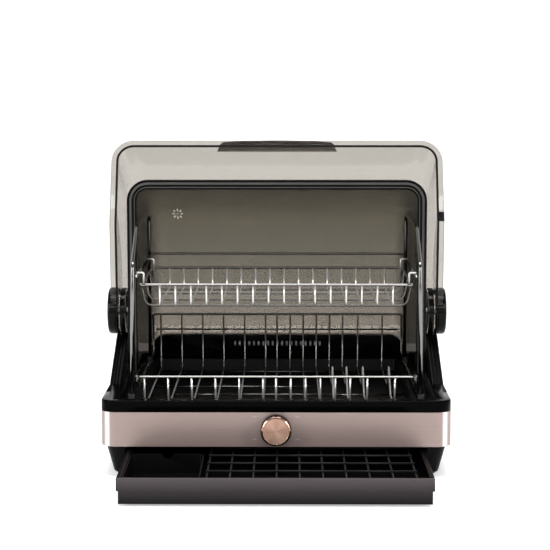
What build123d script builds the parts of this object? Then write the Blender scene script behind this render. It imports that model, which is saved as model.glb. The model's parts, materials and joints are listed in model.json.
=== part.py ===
from build123d import *
import os
from math import acos, atan2, cos, radians, sin, tan

# Countertop dish sterilizer cabinet, millimetres.
# +X is the right-hand side, +Y the back, +Z up. The origin is the middle of the base's
# footprint on the worktop. "Ahead" is measured towards the front (-Y) from the hub axis, "up" is
# measured above it. The model stands with its lid swung open and its drawer pulled part way out.

# ---- Base ----
BASE_W = 450.0  # over the fascia band
BASE_D = 382.0
BASE_H = 100.0  # worktop to the top of the rim
BASE_CORNER = 20.0
FOOT_T = 2.0  # how far the rubber feet stand proud
PLATE_T = 0.8
PLATE_LAP = 2.5  # how far the bottom plate laps over the bay walls
SCREW_R = 1.6
SCREW_X = (-170, -60, 60, 170)
WAIST_Z = 42.0  # underside of the fascia band
RIM_T = 15.0  # height of the glossy rim above the band
BAND_T = 1.5
WALL = 3.0
SKIRT_TOP_IN = 5.5  # how far it stands back below the band
SKIRT_IN = 9.5  # how far it draws in from waist to foot
SKIRT_ROUND = 4.0

# ---- Deck and basin ----
RIDGE_W = 13.0  # flat top of the rim that the lid closes on
SIDE_RIDGE_W = 25.0
LEDGE_DROP = 8.0  # deck ledge below the rim top
DECK_T = 3.0
BASIN_W = 358.0
BASIN_FRONT = 163.0  # ahead of the hub axis
BASIN_REAR = -142.0
BASIN_DEPTH = 22.0
BASIN_CORNER = 10.0
BASIN_T = 1.5
BASIN_LIP = 4.0

# ---- Hub axis and lid ----
HUB_AHEAD = 211.0  # from the base's front face back to the hub axis
HUB_UP = 86.0  # hub axis above the rim top
LID_W = 440.0  # outside the side walls
LID_WALL = 3.0
LID_TOP = 188.0  # outside radius over the hub at the trailing edge
LID_FRONT = 206.0  # outside of the front wall at its foot
LID_LEAN = 3.0  # degrees that the front wall leans back
LID_CURVE = 145.0
LID_CORNER = 22.0
LID_TRAIL = -3.0
LID_KINK = 100.0  # where the lid's lower edge turns up towards the hub
LID_OPENING = 112.6  # degrees
FLANGE_W = 7.0
FLANGE_T = 3.0
SEAL_W = 3.0
SEAL_T = 1.2
SEAL_GAP = 0.3
EAR_R = 30.0
HANDLE_W = 149.0
HANDLE_FLARE = 9.5
HANDLE_H = 18.0
HANDLE_PROUD = 3.0

# ---- Hubs ----
PIN_R = 4.5
PIN_GAP = 0.08
CAP_R = 32.5
CAP_T = 12.5
CAP_ROUND = 5.0
CAP_CROWN = 2.0
PIN_REACH = 7.0  # how far the pin enters the cap
COLLAR_R = 32.0
POST_OUT = 224.0  # outer face of the side posts
POST_REAR = -72.0  # rear corner of their foot, ahead of the hub axis
SIDE_GAP = 0.4

# ---- Rear shell ----
SHELL_R = 180.0
SHELL_W = 418.0
SHELL_T = 2.5
SHELL_CORNER = 25.0
SHELL_FRONT = 6.0  # front edge, ahead of the hub axis
RIM_FRAME_W = 11.5
RIM_FRAME_T = 5.0
ROSETTE_X = -143.0
ROSETTE_UP = 118.0
ROSETTE_R = 6.0

# ---- Air path ----
DUCT_W = 376.0
DUCT_TOP = 127.5
DUCT_FRONT = -147.0
DUCT_CORNER = 22.0
DUCT_T = 2.0
BLOWER_SIZE = 76.0
BLOWER_T = 22.0
IMPELLER_R = 29.0
BLADES = 18
LAMP_R = 4.0
LAMP_L = 150.0

# ---- Timer and knob ----
KNOB_R = 19.6
KNOB_PROUD = 16.5
KNOB_GAP = 0.6
KNOB_CAP_T = 2.2
SHAFT_R = 3.0
TIMER_R = 17.5
TIMER_L = 28.0
NUT_R = 7.0

# ---- Rack ----
FRAME_X = 188.0
FRAME_WIRE = 5.5
FRAME_FOOT = 172.0  # where the front uprights stand, ahead of the hub axis
FRAME_REAR = -115.0
FRAME_SHOULDER = 152.0  # where they lean in, at the height of the upper basket
FOOT_CAP_H = 9.0
RIM_WIRE = 3.5
BAR_WIRE = 2.5
WELD_GAP = 0.05
RAIL_Z = 252.0
UPPER_RIM_Z = 241.0
UPPER_FLOOR_Z = 214.0
UPPER_FRONT = 146.0
UPPER_REAR = -44.0
UPPER_HALF = 178.0
UPPER_BARS = 16
UPPER_PITCH = 20.3
LOWER_RIM_Z = 121.5
LOWER_REAR_Z = 161.0
LOWER_FLOOR_Z = 80.0
LOWER_FRONT = 160.0
LOWER_REAR = -136.0
HUMP_Z = 110.0
HUMP_AHEAD = 27.0

# ---- Drawer ----
DRAWER_W = 382.0
DRAWER_L = 330.0
DRAWER_TOP = 34.5
DRAWER_FRONT_Z = 3.0
DRAWER_OPEN = 151.0  # how far it stands out at rest
DRAWER_WALL = 2.0
DRAWER_RIM = 4.0
FRONT_T = 4.0
FRONT_STEP = 2.4
BAY_GAP = 3.0
BAY_TOP = 37.5
BAY_ROOF = 40.0
RUN_GAP = 0.3
CUTLERY_W = 94.0
CUTLERY_L = 126.0
CUTLERY_WALL = 1.8
GRATE_PITCH = 28.3
GRATE_WIRE = 2.6
GRATE_Z = 29.5

# ---- Worked out ----
FRONT_Y = -BASE_D / 2
HUB_Y = FRONT_Y + HUB_AHEAD
HUB_Z = BASE_H + HUB_UP
BAND_TOP = BASE_H - RIM_T
LEDGE_Z = BASE_H - LEDGE_DROP
EDGE_UP = -HUB_UP + SEAL_GAP + SEAL_T  # underside of the lid's flange when closed
LID_HALF = LID_W / 2
SHELL_HALF = SHELL_W / 2
KNOB_Z = (WAIST_Z + BAND_TOP) / 2
CLOSED_FRONT_Y = FRONT_Y + BAND_T + SKIRT_IN / 2
DRAWER_Y = CLOSED_FRONT_Y - DRAWER_OPEN
BAY_HALF = DRAWER_W / 2 + BAY_GAP
BAY_REAR = CLOSED_FRONT_Y + DRAWER_L + BAY_GAP + 1
RAIL_X = FRAME_X - (FRAME_WIRE + RIM_WIRE) / 2 - WELD_GAP
SIDE = Plane(origin=(0, HUB_Y, HUB_Z), x_dir=(0, -1, 0), z_dir=(-1, 0, 0))
HUB = Pos(0, HUB_Y, HUB_Z)


def at(x, ahead, z):
    """A point given across, ahead of the hub axis and above the worktop."""
    return (x, HUB_Y - ahead, z)


def prism(width, depth, radius, low, high, y=0.0):
    """An upright block with rounded corners in plan."""
    return extrude(Pos(0, y, low) * RectangleRounded(width, depth, radius), high - low)


def block(x0, x1, y0, y1, z0, z1):
    """A plain block between two corners."""
    return Pos((x0 + x1) / 2, (y0 + y1) / 2, (z0 + z1) / 2) * Box(x1 - x0, y1 - y0, z1 - z0)


def side_prism(points, low, high):
    """A side view, ahead and up of the hub, carried across the cabinet from x low to x high."""
    face = SIDE * make_face(Polyline(*points, close=True))
    return Pos((low + high) / 2, 0, 0) * extrude(face, (high - low) / 2, both=True)


def disc(radius, low, high, ahead=0.0, up=0.0):
    """A disc square to the hub axis, between x low and x high."""
    middle = Pos((low + high) / 2, HUB_Y - ahead, HUB_Z + up)
    return middle * Rot(0, 90, 0) * Cylinder(radius, high - low)


def upright(radius, x, y, low, high):
    """An upright round pin."""
    return Pos(x, y, (low + high) / 2) * Cylinder(radius, high - low)


def bar(points, size=BAR_WIRE):
    """A thin rack bar: eight-sided, with mitred bends."""
    heading = Vector(*points[1]) - Vector(*points[0])
    section = Plane(origin=points[0], z_dir=heading) * RegularPolygon(size / 2, 8)
    return sweep(section, path=Polyline(*points), transition=Transition.RIGHT)


def wire(points, size, bend):
    """A round wire bent to one radius."""
    path = FilletPolyline(*points, radius=bend)
    section = Plane(origin=path @ 0, z_dir=path % 0) * Circle(size / 2)
    return sweep(section, path=path)


def both_sides(piece):
    """A piece and its mirror image across the cabinet."""
    return [piece, mirror(piece, about=Plane.YZ)]


# ---- Base ----
def lower_body(inset, low, high):
    """The part below the band, which draws in evenly towards the worktop."""

    def outline(z):
        share = (WAIST_Z - z) / (WAIST_Z - FOOT_T)
        draw = 2 * (SKIRT_TOP_IN + inset + SKIRT_IN * share)
        return Pos(0, 0, z) * RectangleRounded(BASE_W - draw, BASE_D - draw, BASE_CORNER - 6.0)

    return loft([outline(low), outline(high)])


def base_housing():
    skirt = lower_body(0, FOOT_T, WAIST_Z)
    foot_edges = skirt.edges().group_by(Axis.Z)[0]
    skirt = fillet(foot_edges, SKIRT_ROUND)
    inset = 2 * BAND_T
    body = skirt + prism(BASE_W - inset, BASE_D - inset, BASE_CORNER - BAND_T, WAIST_Z, BAND_TOP)
    inset += 2 * WALL
    shelf = WAIST_Z + WALL
    upper_room = prism(BASE_W - inset, BASE_D - inset, BASE_CORNER - BAND_T - WALL, shelf, BAND_TOP)
    inset = 2 * (SKIRT_TOP_IN + WALL)
    upper_room += prism(BASE_W - inset, BASE_D - inset, BASE_CORNER - 6.0, WAIST_Z - 1, shelf + 1)
    lower_room = lower_body(WALL, FOOT_T + WALL, WAIST_Z)
    lower_room -= block(-BAY_HALF - WALL, BAY_HALF + WALL, -BASE_D, BAY_REAR + WALL, 0, BAY_ROOF)
    lower_room -= [upright(4, x, BAY_REAR + 6, 0, 18) for x in SCREW_X]
    bay = block(-BAY_HALF, BAY_HALF, -BASE_D, BAY_REAR, 0, BAY_TOP)
    body = body - upper_room - lower_room - bay - plate_room(0.2) - screw_forms()
    body -= Pos(0, FRONT_Y, KNOB_Z) * Rot(90, 0, 0) * Cylinder(SHAFT_R + 2, 20)
    body -= Pos(150, -FRONT_Y, KNOB_Z) * Rot(90, 0, 0) * Cylinder(7, 20)
    slot = block(-1.5, 1.5, -FRONT_Y - 12, -FRONT_Y + 2, WAIST_Z + 8, BAND_TOP - 8)
    return body - [Pos(-100 + 8 * i, 0, 0) * slot for i in range(13)]


def plate_room(gap):
    """The bottom plate's own space, or the rebate it lies in when grown by a gap."""
    half = BAY_HALF + PLATE_LAP + gap
    return block(-half, half, CLOSED_FRONT_Y + 14 - gap, BAY_REAR + 11 + gap, FOOT_T - gap, FOOT_T + PLATE_T)


def screw_forms():
    """The countersunk screws, flush with the plate, which also cut their own seats."""
    forms = []
    for x in SCREW_X:
        head = Pos(x, BAY_REAR + 6, FOOT_T + SCREW_R / 2) * Cone(2 * SCREW_R, SCREW_R, SCREW_R)
        forms.append(head + upright(SCREW_R, x, BAY_REAR + 6, FOOT_T + SCREW_R, 12))
    return forms


def bottom_plate():
    """Steel sheet let into the underside, which closes the drawer bay from below."""
    return plate_room(0) - screw_forms()


def rubber_feet():
    """Four pads under the side walls."""
    x = BAY_HALF + PLATE_LAP + 5.0
    pads = [block(x - 4, x + 4, y - 20, y + 20, 0, FOOT_T) for y in (FRONT_Y + 45, -FRONT_Y - 45)]
    return [side for pad in pads for side in both_sides(pad)]


def fascia_band():
    band = prism(BASE_W, BASE_D, BASE_CORNER, WAIST_Z, BAND_TOP)
    band -= prism(BASE_W - 2 * BAND_T, BASE_D - 2 * BAND_T, BASE_CORNER - BAND_T, 0, BASE_H)
    band -= block(-BASE_W, BASE_W, -FRONT_Y - 30, -FRONT_Y + 5, 0, BASE_H)
    return band - Pos(0, FRONT_Y, KNOB_Z) * Rot(90, 0, 0) * Cylinder(SHAFT_R + 2, 20)


def rim_deck():
    """The glossy rim with its ledge, open over the basin and over the air duct."""
    deck = prism(BASE_W, BASE_D, BASE_CORNER, BAND_TOP, BASE_H)
    deck = fillet(deck.edges().group_by(Axis.Z)[-1], 2.5)
    ledge_front = FRONT_Y + RIDGE_W
    ledge_rear = HUB_Y - DUCT_FRONT + 9
    depth = ledge_rear - ledge_front
    middle = (ledge_front + ledge_rear) / 2
    deck -= prism(BASE_W - 2 * SIDE_RIDGE_W, depth, 14, LEDGE_Z, BASE_H + 1, middle)
    under = 2 * (BAND_T + WALL)
    deck -= prism(BASE_W - under, BASE_D - under, BASE_CORNER - BAND_T - WALL, 0, LEDGE_Z - DECK_T)
    deck -= basin_block(0.5, LEDGE_Z - 20, LEDGE_Z + 1)
    deck -= block(-80, 80, HUB_Y - DUCT_FRONT + DUCT_T, HUB_Y - DUCT_FRONT + 8, 0, BASE_H)
    for side in (-1, 1):
        deck -= Pos(side * (BASE_W / 2 - 3), HUB_Y - 150, BASE_H) * Box(8, 2.4, 3)
    return deck


def basin_block(grow, low, high):
    """The basin's sunk part, straight sided."""
    depth = BASIN_FRONT - BASIN_REAR + 2 * grow
    y = HUB_Y - (BASIN_FRONT + BASIN_REAR) / 2
    return prism(BASIN_W + 2 * grow, depth, BASIN_CORNER + grow, low, high, y)


def basin_tray():
    """Drip basin: a lip on the deck ledge, drafted sides and a drain hole."""
    y = HUB_Y - (BASIN_FRONT + BASIN_REAR) / 2
    depth = BASIN_FRONT - BASIN_REAR

    def outline(z, inset):
        draw = 2 * (inset + (LEDGE_Z - z) * tan(radians(3)))
        return Pos(0, y, z) * RectangleRounded(BASIN_W - draw, depth - draw, BASIN_CORNER - inset)

    floor = LEDGE_Z - BASIN_DEPTH
    pan = loft([outline(floor, 0), outline(LEDGE_Z, 0)])
    pan += basin_block(BASIN_LIP, LEDGE_Z, LEDGE_Z + BASIN_T)
    pan -= loft([outline(floor + BASIN_T, BASIN_T), outline(LEDGE_Z + BASIN_T, BASIN_T)])
    return pan - upright(6, 0, y, floor - 5, floor + 5)


def drawer_runners():
    """Strips on the bay walls that the drawer's rim slides on."""
    top = DRAWER_TOP - DRAWER_WALL - RUN_GAP
    inner = DRAWER_W / 2 - DRAWER_RIM + RUN_GAP + 0.3
    return both_sides(block(inner, BAY_HALF, CLOSED_FRONT_Y + 12, 135, top - 8, top))


def base_screws():
    return screw_forms()


def cord_gland():
    """The mains inlet in the back wall, with no lead."""
    y = -FRONT_Y - BAND_T
    gland = Pos(150, y - 2, KNOB_Z) * Rot(90, 0, 0) * Cylinder(6.8, 12)
    gland += Pos(150, y + 1.2, KNOB_Z) * Rot(90, 0, 0) * Cylinder(9, 2.4)
    return gland - Pos(150, y, KNOB_Z) * Rot(90, 0, 0) * Cylinder(3.4, 30)


# ---- Timer ----
def timer_body():
    back = FRONT_Y + BAND_T + WALL
    body = Pos(0, back + TIMER_L / 2, KNOB_Z) * Rot(90, 0, 0) * Cylinder(TIMER_R, TIMER_L)
    return body - Pos(0, back, KNOB_Z) * Rot(90, 0, 0) * Cylinder(SHAFT_R + PIN_GAP, 2 * TIMER_L - 8)


def timer_shaft():
    front = FRONT_Y - KNOB_GAP - 8
    back = FRONT_Y + BAND_T + WALL + TIMER_L - 6
    return Pos(0, (front + back) / 2, KNOB_Z) * Rot(90, 0, 0) * Cylinder(SHAFT_R, back - front)


def knob_profile(points):
    """A turned part about the knob's axis, its profile given as radius and distance in front."""
    plane = Plane(origin=(0, FRONT_Y, KNOB_Z), x_dir=(1, 0, 0), z_dir=(0, 0, 1))
    face = plane * make_face(Polyline(*[(r, -d) for r, d in points], close=True))
    return revolve(face, Axis((0, FRONT_Y, KNOB_Z), (0, 1, 0)))


def timer_knob():
    face = KNOB_PROUD - KNOB_CAP_T
    return knob_profile([
        (0, face), (KNOB_R - 1, face), (KNOB_R, face - 1), (KNOB_R, KNOB_GAP),
        (KNOB_R - 2, KNOB_GAP), (KNOB_R - 2, 6), (SHAFT_R, 6), (SHAFT_R, 8 + KNOB_GAP),
        (0, 8 + KNOB_GAP),
    ])


def knob_cap():
    face = KNOB_PROUD - KNOB_CAP_T
    return knob_profile([
        (0, face), (KNOB_R - 0.8, face), (KNOB_R - 0.8, face + 0.8), (KNOB_R - 2.4, KNOB_PROUD),
        (0, KNOB_PROUD),
    ])


# ---- Air path ----
def air_duct():
    """Raised black panel behind the rack, open below, with outlet slots in its face."""
    front = HUB_Y - DUCT_FRONT
    outline = Plane(origin=(0, front, LEDGE_Z), x_dir=(1, 0, 0), z_dir=(0, -1, 0))
    height = DUCT_TOP - LEDGE_Z
    sheet = outline * (Pos(0, height / 2 - 30) * RectangleRounded(DUCT_W, height + 60, DUCT_CORNER))
    duct = extrude(sheet, -40) & block(-250, 250, 0, 300, LEDGE_Z, 200)
    duct = duct & shell_form(SHELL_T + RUN_GAP, 30, -HUB_UP - 20)
    duct -= block(-250, 250, front + 8.5, 300, 0, BASE_H)
    room = outline * (Pos(0, height / 2 - 32) * RectangleRounded(
        DUCT_W - 2 * DUCT_T, height + 60, DUCT_CORNER - DUCT_T))
    hollow = extrude(room, -40) & block(-250, 250, front + DUCT_T, 300, LEDGE_Z - 1, 200)
    hollow = hollow & shell_form(SHELL_T + RUN_GAP + DUCT_T, 30, -HUB_UP - 20)
    hollow -= block(-250, 250, front + 8.5 - DUCT_T, 300, 0, BASE_H + DUCT_T)
    duct -= hollow
    slot = block(-1.5, 1.5, front - 5, front + DUCT_T + 0.5, DUCT_TOP - 22, DUCT_TOP - 8)
    return duct - [Pos(-77 + 7 * i, 0, 0) * slot for i in range(23)]


def blower_middle():
    """Middle of the blower, which rests on the roof of the drawer bay."""
    return Pos(-45, HUB_Y + 100, BAY_ROOF + RUN_GAP + BLOWER_T / 2)


def blower_housing():
    """Flat snail housing under the basin; air enters above and leaves to the back."""
    half = BLOWER_SIZE / 2
    shell = extrude(RectangleRounded(BLOWER_SIZE, BLOWER_SIZE, 16), BLOWER_T / 2, both=True)
    shell += Pos(-half / 2 - 4, half - 4, 0) * Box(half - 8, 20, BLOWER_T)
    shell -= Cylinder(IMPELLER_R + 3, BLOWER_T - 4)
    shell -= Pos(-half / 2 - 4, half / 2 + 8, 0) * Box(half - 13, half + 30, BLOWER_T - 4)
    shell -= Pos(0, 0, BLOWER_T / 2) * Cylinder(IMPELLER_R - 6, 5)
    return blower_middle() * shell


def blower_motor():
    return blower_middle() * Pos(0, 0, -BLOWER_T / 2 + 2 + 3) * Cylinder(11, 6)


def blower_impeller():
    """Hub disc with blades standing round its edge."""
    floor = -BLOWER_T / 2 + 2 + 6.4
    top = BLOWER_T / 2 - 2.6
    wheel = Pos(0, 0, floor + 0.6) * Cylinder(IMPELLER_R, 1.2)
    wheel += Pos(0, 0, floor + 3) * Cylinder(8, 6)
    blade = Pos(IMPELLER_R - 4.5, 0, (floor + top) / 2) * Rot(0, 0, 28) * Box(8, 1.0, top - floor)
    wheel += [Rot(0, 0, 360 / BLADES * i) * blade for i in range(BLADES)]
    return blower_middle() * wheel


def heater_block():
    """Finned warm-air heater across the blower's outlet."""
    middle = blower_middle() * Pos(-BLOWER_SIZE / 4 - 4, BLOWER_SIZE / 2 + 13, 0)
    frame = Box(50, 13, BLOWER_T)
    gap = Box(2.6, 15, BLOWER_T - 5)
    return middle * (frame - [Pos(-20 + 4 * i, 0, 0) * gap for i in range(11)])


def thermal_cutout():
    middle = blower_middle() * Pos(-BLOWER_SIZE / 4 + 21 + RUN_GAP + 4, BLOWER_SIZE / 2 + 13, 0)
    return middle * Rot(0, 90, 0) * Cylinder(6, 8)


def lamp_axis(low, high, radius):
    ahead = DUCT_FRONT - DUCT_T - 0.6 - LAMP_R
    return disc(radius, low, high, ahead, DUCT_TOP - 13 - HUB_Z)


def uv_lamp():
    return lamp_axis(-LAMP_L / 2, LAMP_L / 2, LAMP_R)


def lamp_holders():
    """Cups that carry the lamp's ends, fixed behind the panel."""
    holders = []
    for end in (-1, 1):
        x = end * (LAMP_L / 2 - 3)
        foot_y = HUB_Y - DUCT_FRONT + DUCT_T
        z = DUCT_TOP - 13
        cup = block(x - 4, x + 4, foot_y, foot_y + 3 + LAMP_R, z - 6, z + 6)
        holders.append(cup - lamp_axis(x - 10, x + 10, LAMP_R + 0.05))
    return holders


# ---- Hubs and side posts ----
def edge_line(offset):
    """The lid's lower edge in side view, moved square to itself: front, kink, then the ear."""
    reach = (LID_KINK**2 + EDGE_UP**2) ** 0.5
    touch = atan2(EDGE_UP, LID_KINK) - acos(EAR_R / reach)
    ear = (EAR_R * cos(touch), EAR_R * sin(touch))
    normal = (-cos(touch), -sin(touch))
    run = (EDGE_UP - ear[1]) / (LID_KINK - ear[0])
    ear = (ear[0] + offset * normal[0], ear[1] + offset * normal[1])
    kink_up = EDGE_UP + offset
    kink = ear[0] + (kink_up - ear[1]) / run
    return [(260, kink_up), (kink, kink_up), ear]


def post_outline():
    """Side view of a post, its front edge just under the closed lid's edge."""
    _, kink, ear = edge_line(-SEAL_T - SIDE_GAP)
    slope = (ear[1] - kink[1]) / (ear[0] - kink[0])
    foot = (kink[0] - (HUB_UP + kink[1]) / slope, -HUB_UP)
    return [foot, ear, (-EAR_R, -EAR_R), (POST_REAR, -HUB_UP)]


def side_post():
    """Left-hand post: a ribbed foot that rises under the lid's edge to the hub."""
    gap = -SEAL_T - SIDE_GAP
    outline = post_outline()
    inner = -LID_HALF + LID_WALL + 2 * SIDE_GAP
    outer = -SHELL_HALF - SIDE_GAP
    post = side_prism(outline[:2] + [(0, 0)] + outline[2:], inner, outer) + disc(COLLAR_R - 6, inner, outer)
    post += side_prism(outline, -POST_OUT, inner) - disc(CAP_R + 2, -POST_OUT - 1, inner)
    low, high = edge_line(gap - 2.5), edge_line(gap + 1)
    strip = [low[0], low[1], low[2], high[2], high[1], high[0]]
    for x in (-POST_OUT + 3, -POST_OUT + 7, -POST_OUT + 11):
        post -= side_prism(strip, x - 1, x + 1)
    return post - disc(PIN_R, -260, 0)


def hub_collar():
    inner = -LID_HALF + LID_WALL + 1.5 * SIDE_GAP
    ring = disc(COLLAR_R, inner, -SHELL_HALF - SIDE_GAP) - disc(COLLAR_R - 6, -260, 0)
    outline = post_outline()
    return ring - side_prism(outline[:2] + [(0, 0)] + outline[2:], -260, 0)


def hinge_pin():
    pin = disc(PIN_R, -LID_HALF - PIN_REACH, -SHELL_HALF + SHELL_T + 1)
    return pin + disc(PIN_R + 1, -SHELL_HALF + SHELL_T, -SHELL_HALF + SHELL_T + 2.5)


def hub_cap():
    """Domed cap that carries the lid's ear on the pin."""
    inner = -LID_HALF
    outer = inner - CAP_T
    cap = disc(CAP_R, outer, inner)
    cap = fillet(cap.edges().group_by(Axis.X)[0], CAP_ROUND)
    dome = (CAP_R**2 + CAP_CROWN**2) / (2 * CAP_CROWN)
    cap = cap & (Pos(outer + dome, HUB_Y, HUB_Z) * Sphere(dome))
    return cap - disc(PIN_R + PIN_GAP, inner - PIN_REACH - 1, inner + 1)


# ---- Rear shell ----
def shell_form(inset, front, floor):
    """The rear shell's outside, or its hollow when inset: a drum cut off in front and below."""
    radius = SHELL_R - inset
    face = SIDE * (Circle(radius) & Pos(front - 300, floor + 300) * Rectangle(600, 600))
    drum = extrude(face, SHELL_HALF - inset, both=True)
    rounds = [e for e in drum.edges() if e.geom_type == GeomType.CIRCLE]
    return fillet(rounds, SHELL_CORNER - inset)


def rear_shell():
    shell = shell_form(0, SHELL_FRONT, -HUB_UP) - shell_form(SHELL_T, 30, -HUB_UP - 20)
    tilt = atan2(ROSETTE_UP, (SHELL_R**2 - ROSETTE_UP**2) ** 0.5)
    middle = HUB * Rot(-90 + tilt * 57.29578, 0, 0) * Pos(ROSETTE_X, 0, SHELL_R)
    slot = SlotOverall(4.4, 1.9)
    petals = [Rot(0, 0, 45 * i) * Pos(ROSETTE_R - 0.5, 0) * slot for i in range(8)]
    cut = extrude(Sketch() + petals + Circle(0.9), 8, both=True)
    shell -= middle * cut
    return shell - [disc(PIN_R, -260, -100), disc(PIN_R, 100, 260)]


def frame_outline(inset):
    """The rim frame's outline seen from the front, its foot on the rim top."""
    half = SHELL_HALF - inset
    top = SHELL_R + 1.5 - inset
    plane = Plane(origin=(0, HUB_Y - SHELL_FRONT, HUB_Z), x_dir=(1, 0, 0), z_dir=(0, -1, 0))
    tall = top + HUB_UP
    face = Pos(0, top - tall) * Rectangle(2 * half, 2 * tall) & Pos(0, 300 - HUB_UP) * Rectangle(600, 600)
    corners = face.vertices().group_by(Axis.Y)[-1]
    return plane * fillet(corners, SHELL_CORNER - inset)


def rear_shell_rim():
    """Black frame round the shell's front edge, with three ribs on its face."""
    rim = extrude(frame_outline(0) - frame_outline(RIM_FRAME_W), RIM_FRAME_T)
    for inset, width in ((0, 1.8), (4.6, 1.8), (RIM_FRAME_W - 2, 2)):
        rim += extrude(frame_outline(inset) - frame_outline(inset + width), RIM_FRAME_T + 1.2)
    return rim


# ---- Lid, drawn closed and then swung open ----
def lid_form(inset):
    """The lid's outside, or its hollow when inset by the wall."""
    lean = radians(LID_LEAN)
    radius = LID_CURVE - inset
    top = LID_TOP - LID_CURVE
    centre = LID_FRONT - (LID_CURVE + (top - EDGE_UP) * sin(lean)) / cos(lean)
    shoulder = (centre + radius * cos(lean), top + radius * sin(lean))
    foot = EDGE_UP - 4 * inset
    foot_ahead = shoulder[0] + (shoulder[1] - foot) * tan(lean)
    mid = radians(45 + LID_LEAN / 2)
    back = LID_TRAIL - 4 * inset
    line = Polyline((centre, top + radius), (back, top + radius), (back, foot), (foot_ahead, foot), shoulder)
    line += ThreePointArc(
        shoulder, (centre + radius * cos(mid), top + radius * sin(mid)), (centre, top + radius))
    body = extrude(SIDE * make_face(line), LID_HALF - inset, both=True)
    rounds = []
    for edge in body.edges():
        box = edge.bounding_box()
        across = box.max.X - box.min.X
        low = box.max.Z - box.min.Z < 0.01 and box.max.Z < HUB_Z
        rear = box.max.Y - box.min.Y < 0.01 and box.min.Y > HUB_Y - LID_TRAIL - 0.01
        if across < 0.01 and not low and not rear:
            rounds.append(edge)
    return fillet(rounds, LID_CORNER - inset)


def lid_plan(grow):
    """Upright block round the lid's plan, grown or shrunk all round."""
    front = HUB_Y - LID_FRONT - grow
    depth = 400.0
    radius = LID_CORNER + grow
    face = Pos(0, front + depth / 2) * RectangleRounded(LID_W + 2 * grow, depth, radius)
    return extrude(Pos(0, 0, HUB_Z - 150) * face, 160)


def edge_ring(low, high, inner, outer):
    """A strip that follows the lid's lower edge round the cabinet from hub to hub."""
    below, above = edge_line(low), edge_line(high)
    points = below + above[::-1]
    ring = (side_prism(points, -260, 260) & lid_plan(outer)) - lid_plan(inner)
    return ring - both_sides(disc(CAP_R + 0.5, -260, -LID_HALF))


def lid_shell():
    _, kink, ear = edge_line(0)
    keep = [(260, EDGE_UP), (260, 260), (LID_TRAIL, 260), (LID_TRAIL, 0), ear, kink]
    walls = (lid_form(0) - lid_form(LID_WALL)) & side_prism(keep, -260, 260)
    lid = walls + edge_ring(0, FLANGE_T, -LID_WALL, FLANGE_W)
    lid += both_sides(disc(EAR_R, -LID_HALF, -LID_HALF + LID_WALL))
    return lid - [disc(PIN_R + PIN_GAP, -260, -100), disc(PIN_R + PIN_GAP, 100, 260)]


def lid_seal():
    return edge_ring(-SEAL_T, 0, -SEAL_W / 2, SEAL_W / 2)


def lid_handle():
    """Grip on the outside of the front wall, wider up the wall, with a bowed lip."""
    foot = EDGE_UP + FLANGE_T
    lip = LID_FRONT + FLANGE_W + HANDLE_PROUD
    top = EDGE_UP + HANDLE_H
    wedge = [(LID_FRONT - 12, foot), (lip, foot), (lip, foot + 3), (LID_FRONT + 0.6, top), (LID_FRONT - 12, top)]
    grip = side_prism(wedge, -120, 120)
    plane = Plane(origin=(0, HUB_Y, HUB_Z), x_dir=(1, 0, 0), z_dir=(0, -1, 0))
    half = HANDLE_W / 2
    face = make_face(Polyline(
        (-half, foot - 1), (half, foot - 1), (half + HANDLE_FLARE, top + 1), (-half - HANDLE_FLARE, top + 1),
        close=True))
    grip = grip & extrude(plane * face, 260)
    bow = HUB_Y - lip
    sag = half**2 / (2 * HANDLE_PROUD)
    grip = grip & (Pos(0, bow + sag, HUB_Z - 90) * Cylinder(sag, 120))
    return grip - lid_form(0)


def switch_tab():
    """Small black tab on the right-hand flange that works the lid switch."""
    ahead = LID_KINK + 12
    tab = side_prism([
        (ahead - 7, EDGE_UP + FLANGE_T), (ahead + 7, EDGE_UP + FLANGE_T),
        (ahead + 5, EDGE_UP + FLANGE_T + 4), (ahead - 5, EDGE_UP + FLANGE_T + 4)],
        LID_HALF, LID_HALF + FLANGE_W + 2)
    return tab


def opened(piece):
    """Swings a lid piece from closed to the open position that it rests in."""
    return piece.rotate(Axis((0, HUB_Y, HUB_Z), (1, 0, 0)), -LID_OPENING)


# ---- Rack ----
def frame_path(x, foot):
    """One side frame: up the front, in over the shoulder, back along the top and down."""
    return [
        at(x, FRAME_FOOT, foot), at(x, FRAME_SHOULDER, 265), at(x, 86, 307.5), at(x, 40, 312),
        at(x, FRAME_REAR, 312), at(x, FRAME_REAR, foot)]


def rack_frame(x):
    return wire(frame_path(x, LEDGE_Z + 2.5), FRAME_WIRE, 14)


def rack_feet():
    caps = []
    for x in (-FRAME_X, FRAME_X):
        for ahead in (FRAME_FOOT, FRAME_REAR):
            px, py, _ = at(x, ahead, 0)
            cap = upright(4.2, px, py, LEDGE_Z, LEDGE_Z + FOOT_CAP_H)
            caps.append(cap - rack_frame(x))
    return caps


def support_rail():
    """U-shaped rail inside the side frames that the upper basket hangs on."""
    x = RAIL_X
    front, rear = FRAME_SHOULDER + 2, FRAME_REAR - 13
    half = [at(-x, front, RAIL_Z), at(-x, rear, RAIL_Z), at(0, rear, RAIL_Z)]
    other = [(-px, py, pz) for px, py, pz in half]
    return wire(half, RIM_WIRE, 12) + wire(other, RIM_WIRE, 12)


def lower_bar_places():
    """Wide pitch for plates on the left, narrow for saucers on the right, then two spare slots."""
    wide = [-172.5 + 31 * i for i in range(6)]
    narrow = [-0.5 + 19.4 * i for i in range(6)]
    return wide + narrow + [119, 155]


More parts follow.
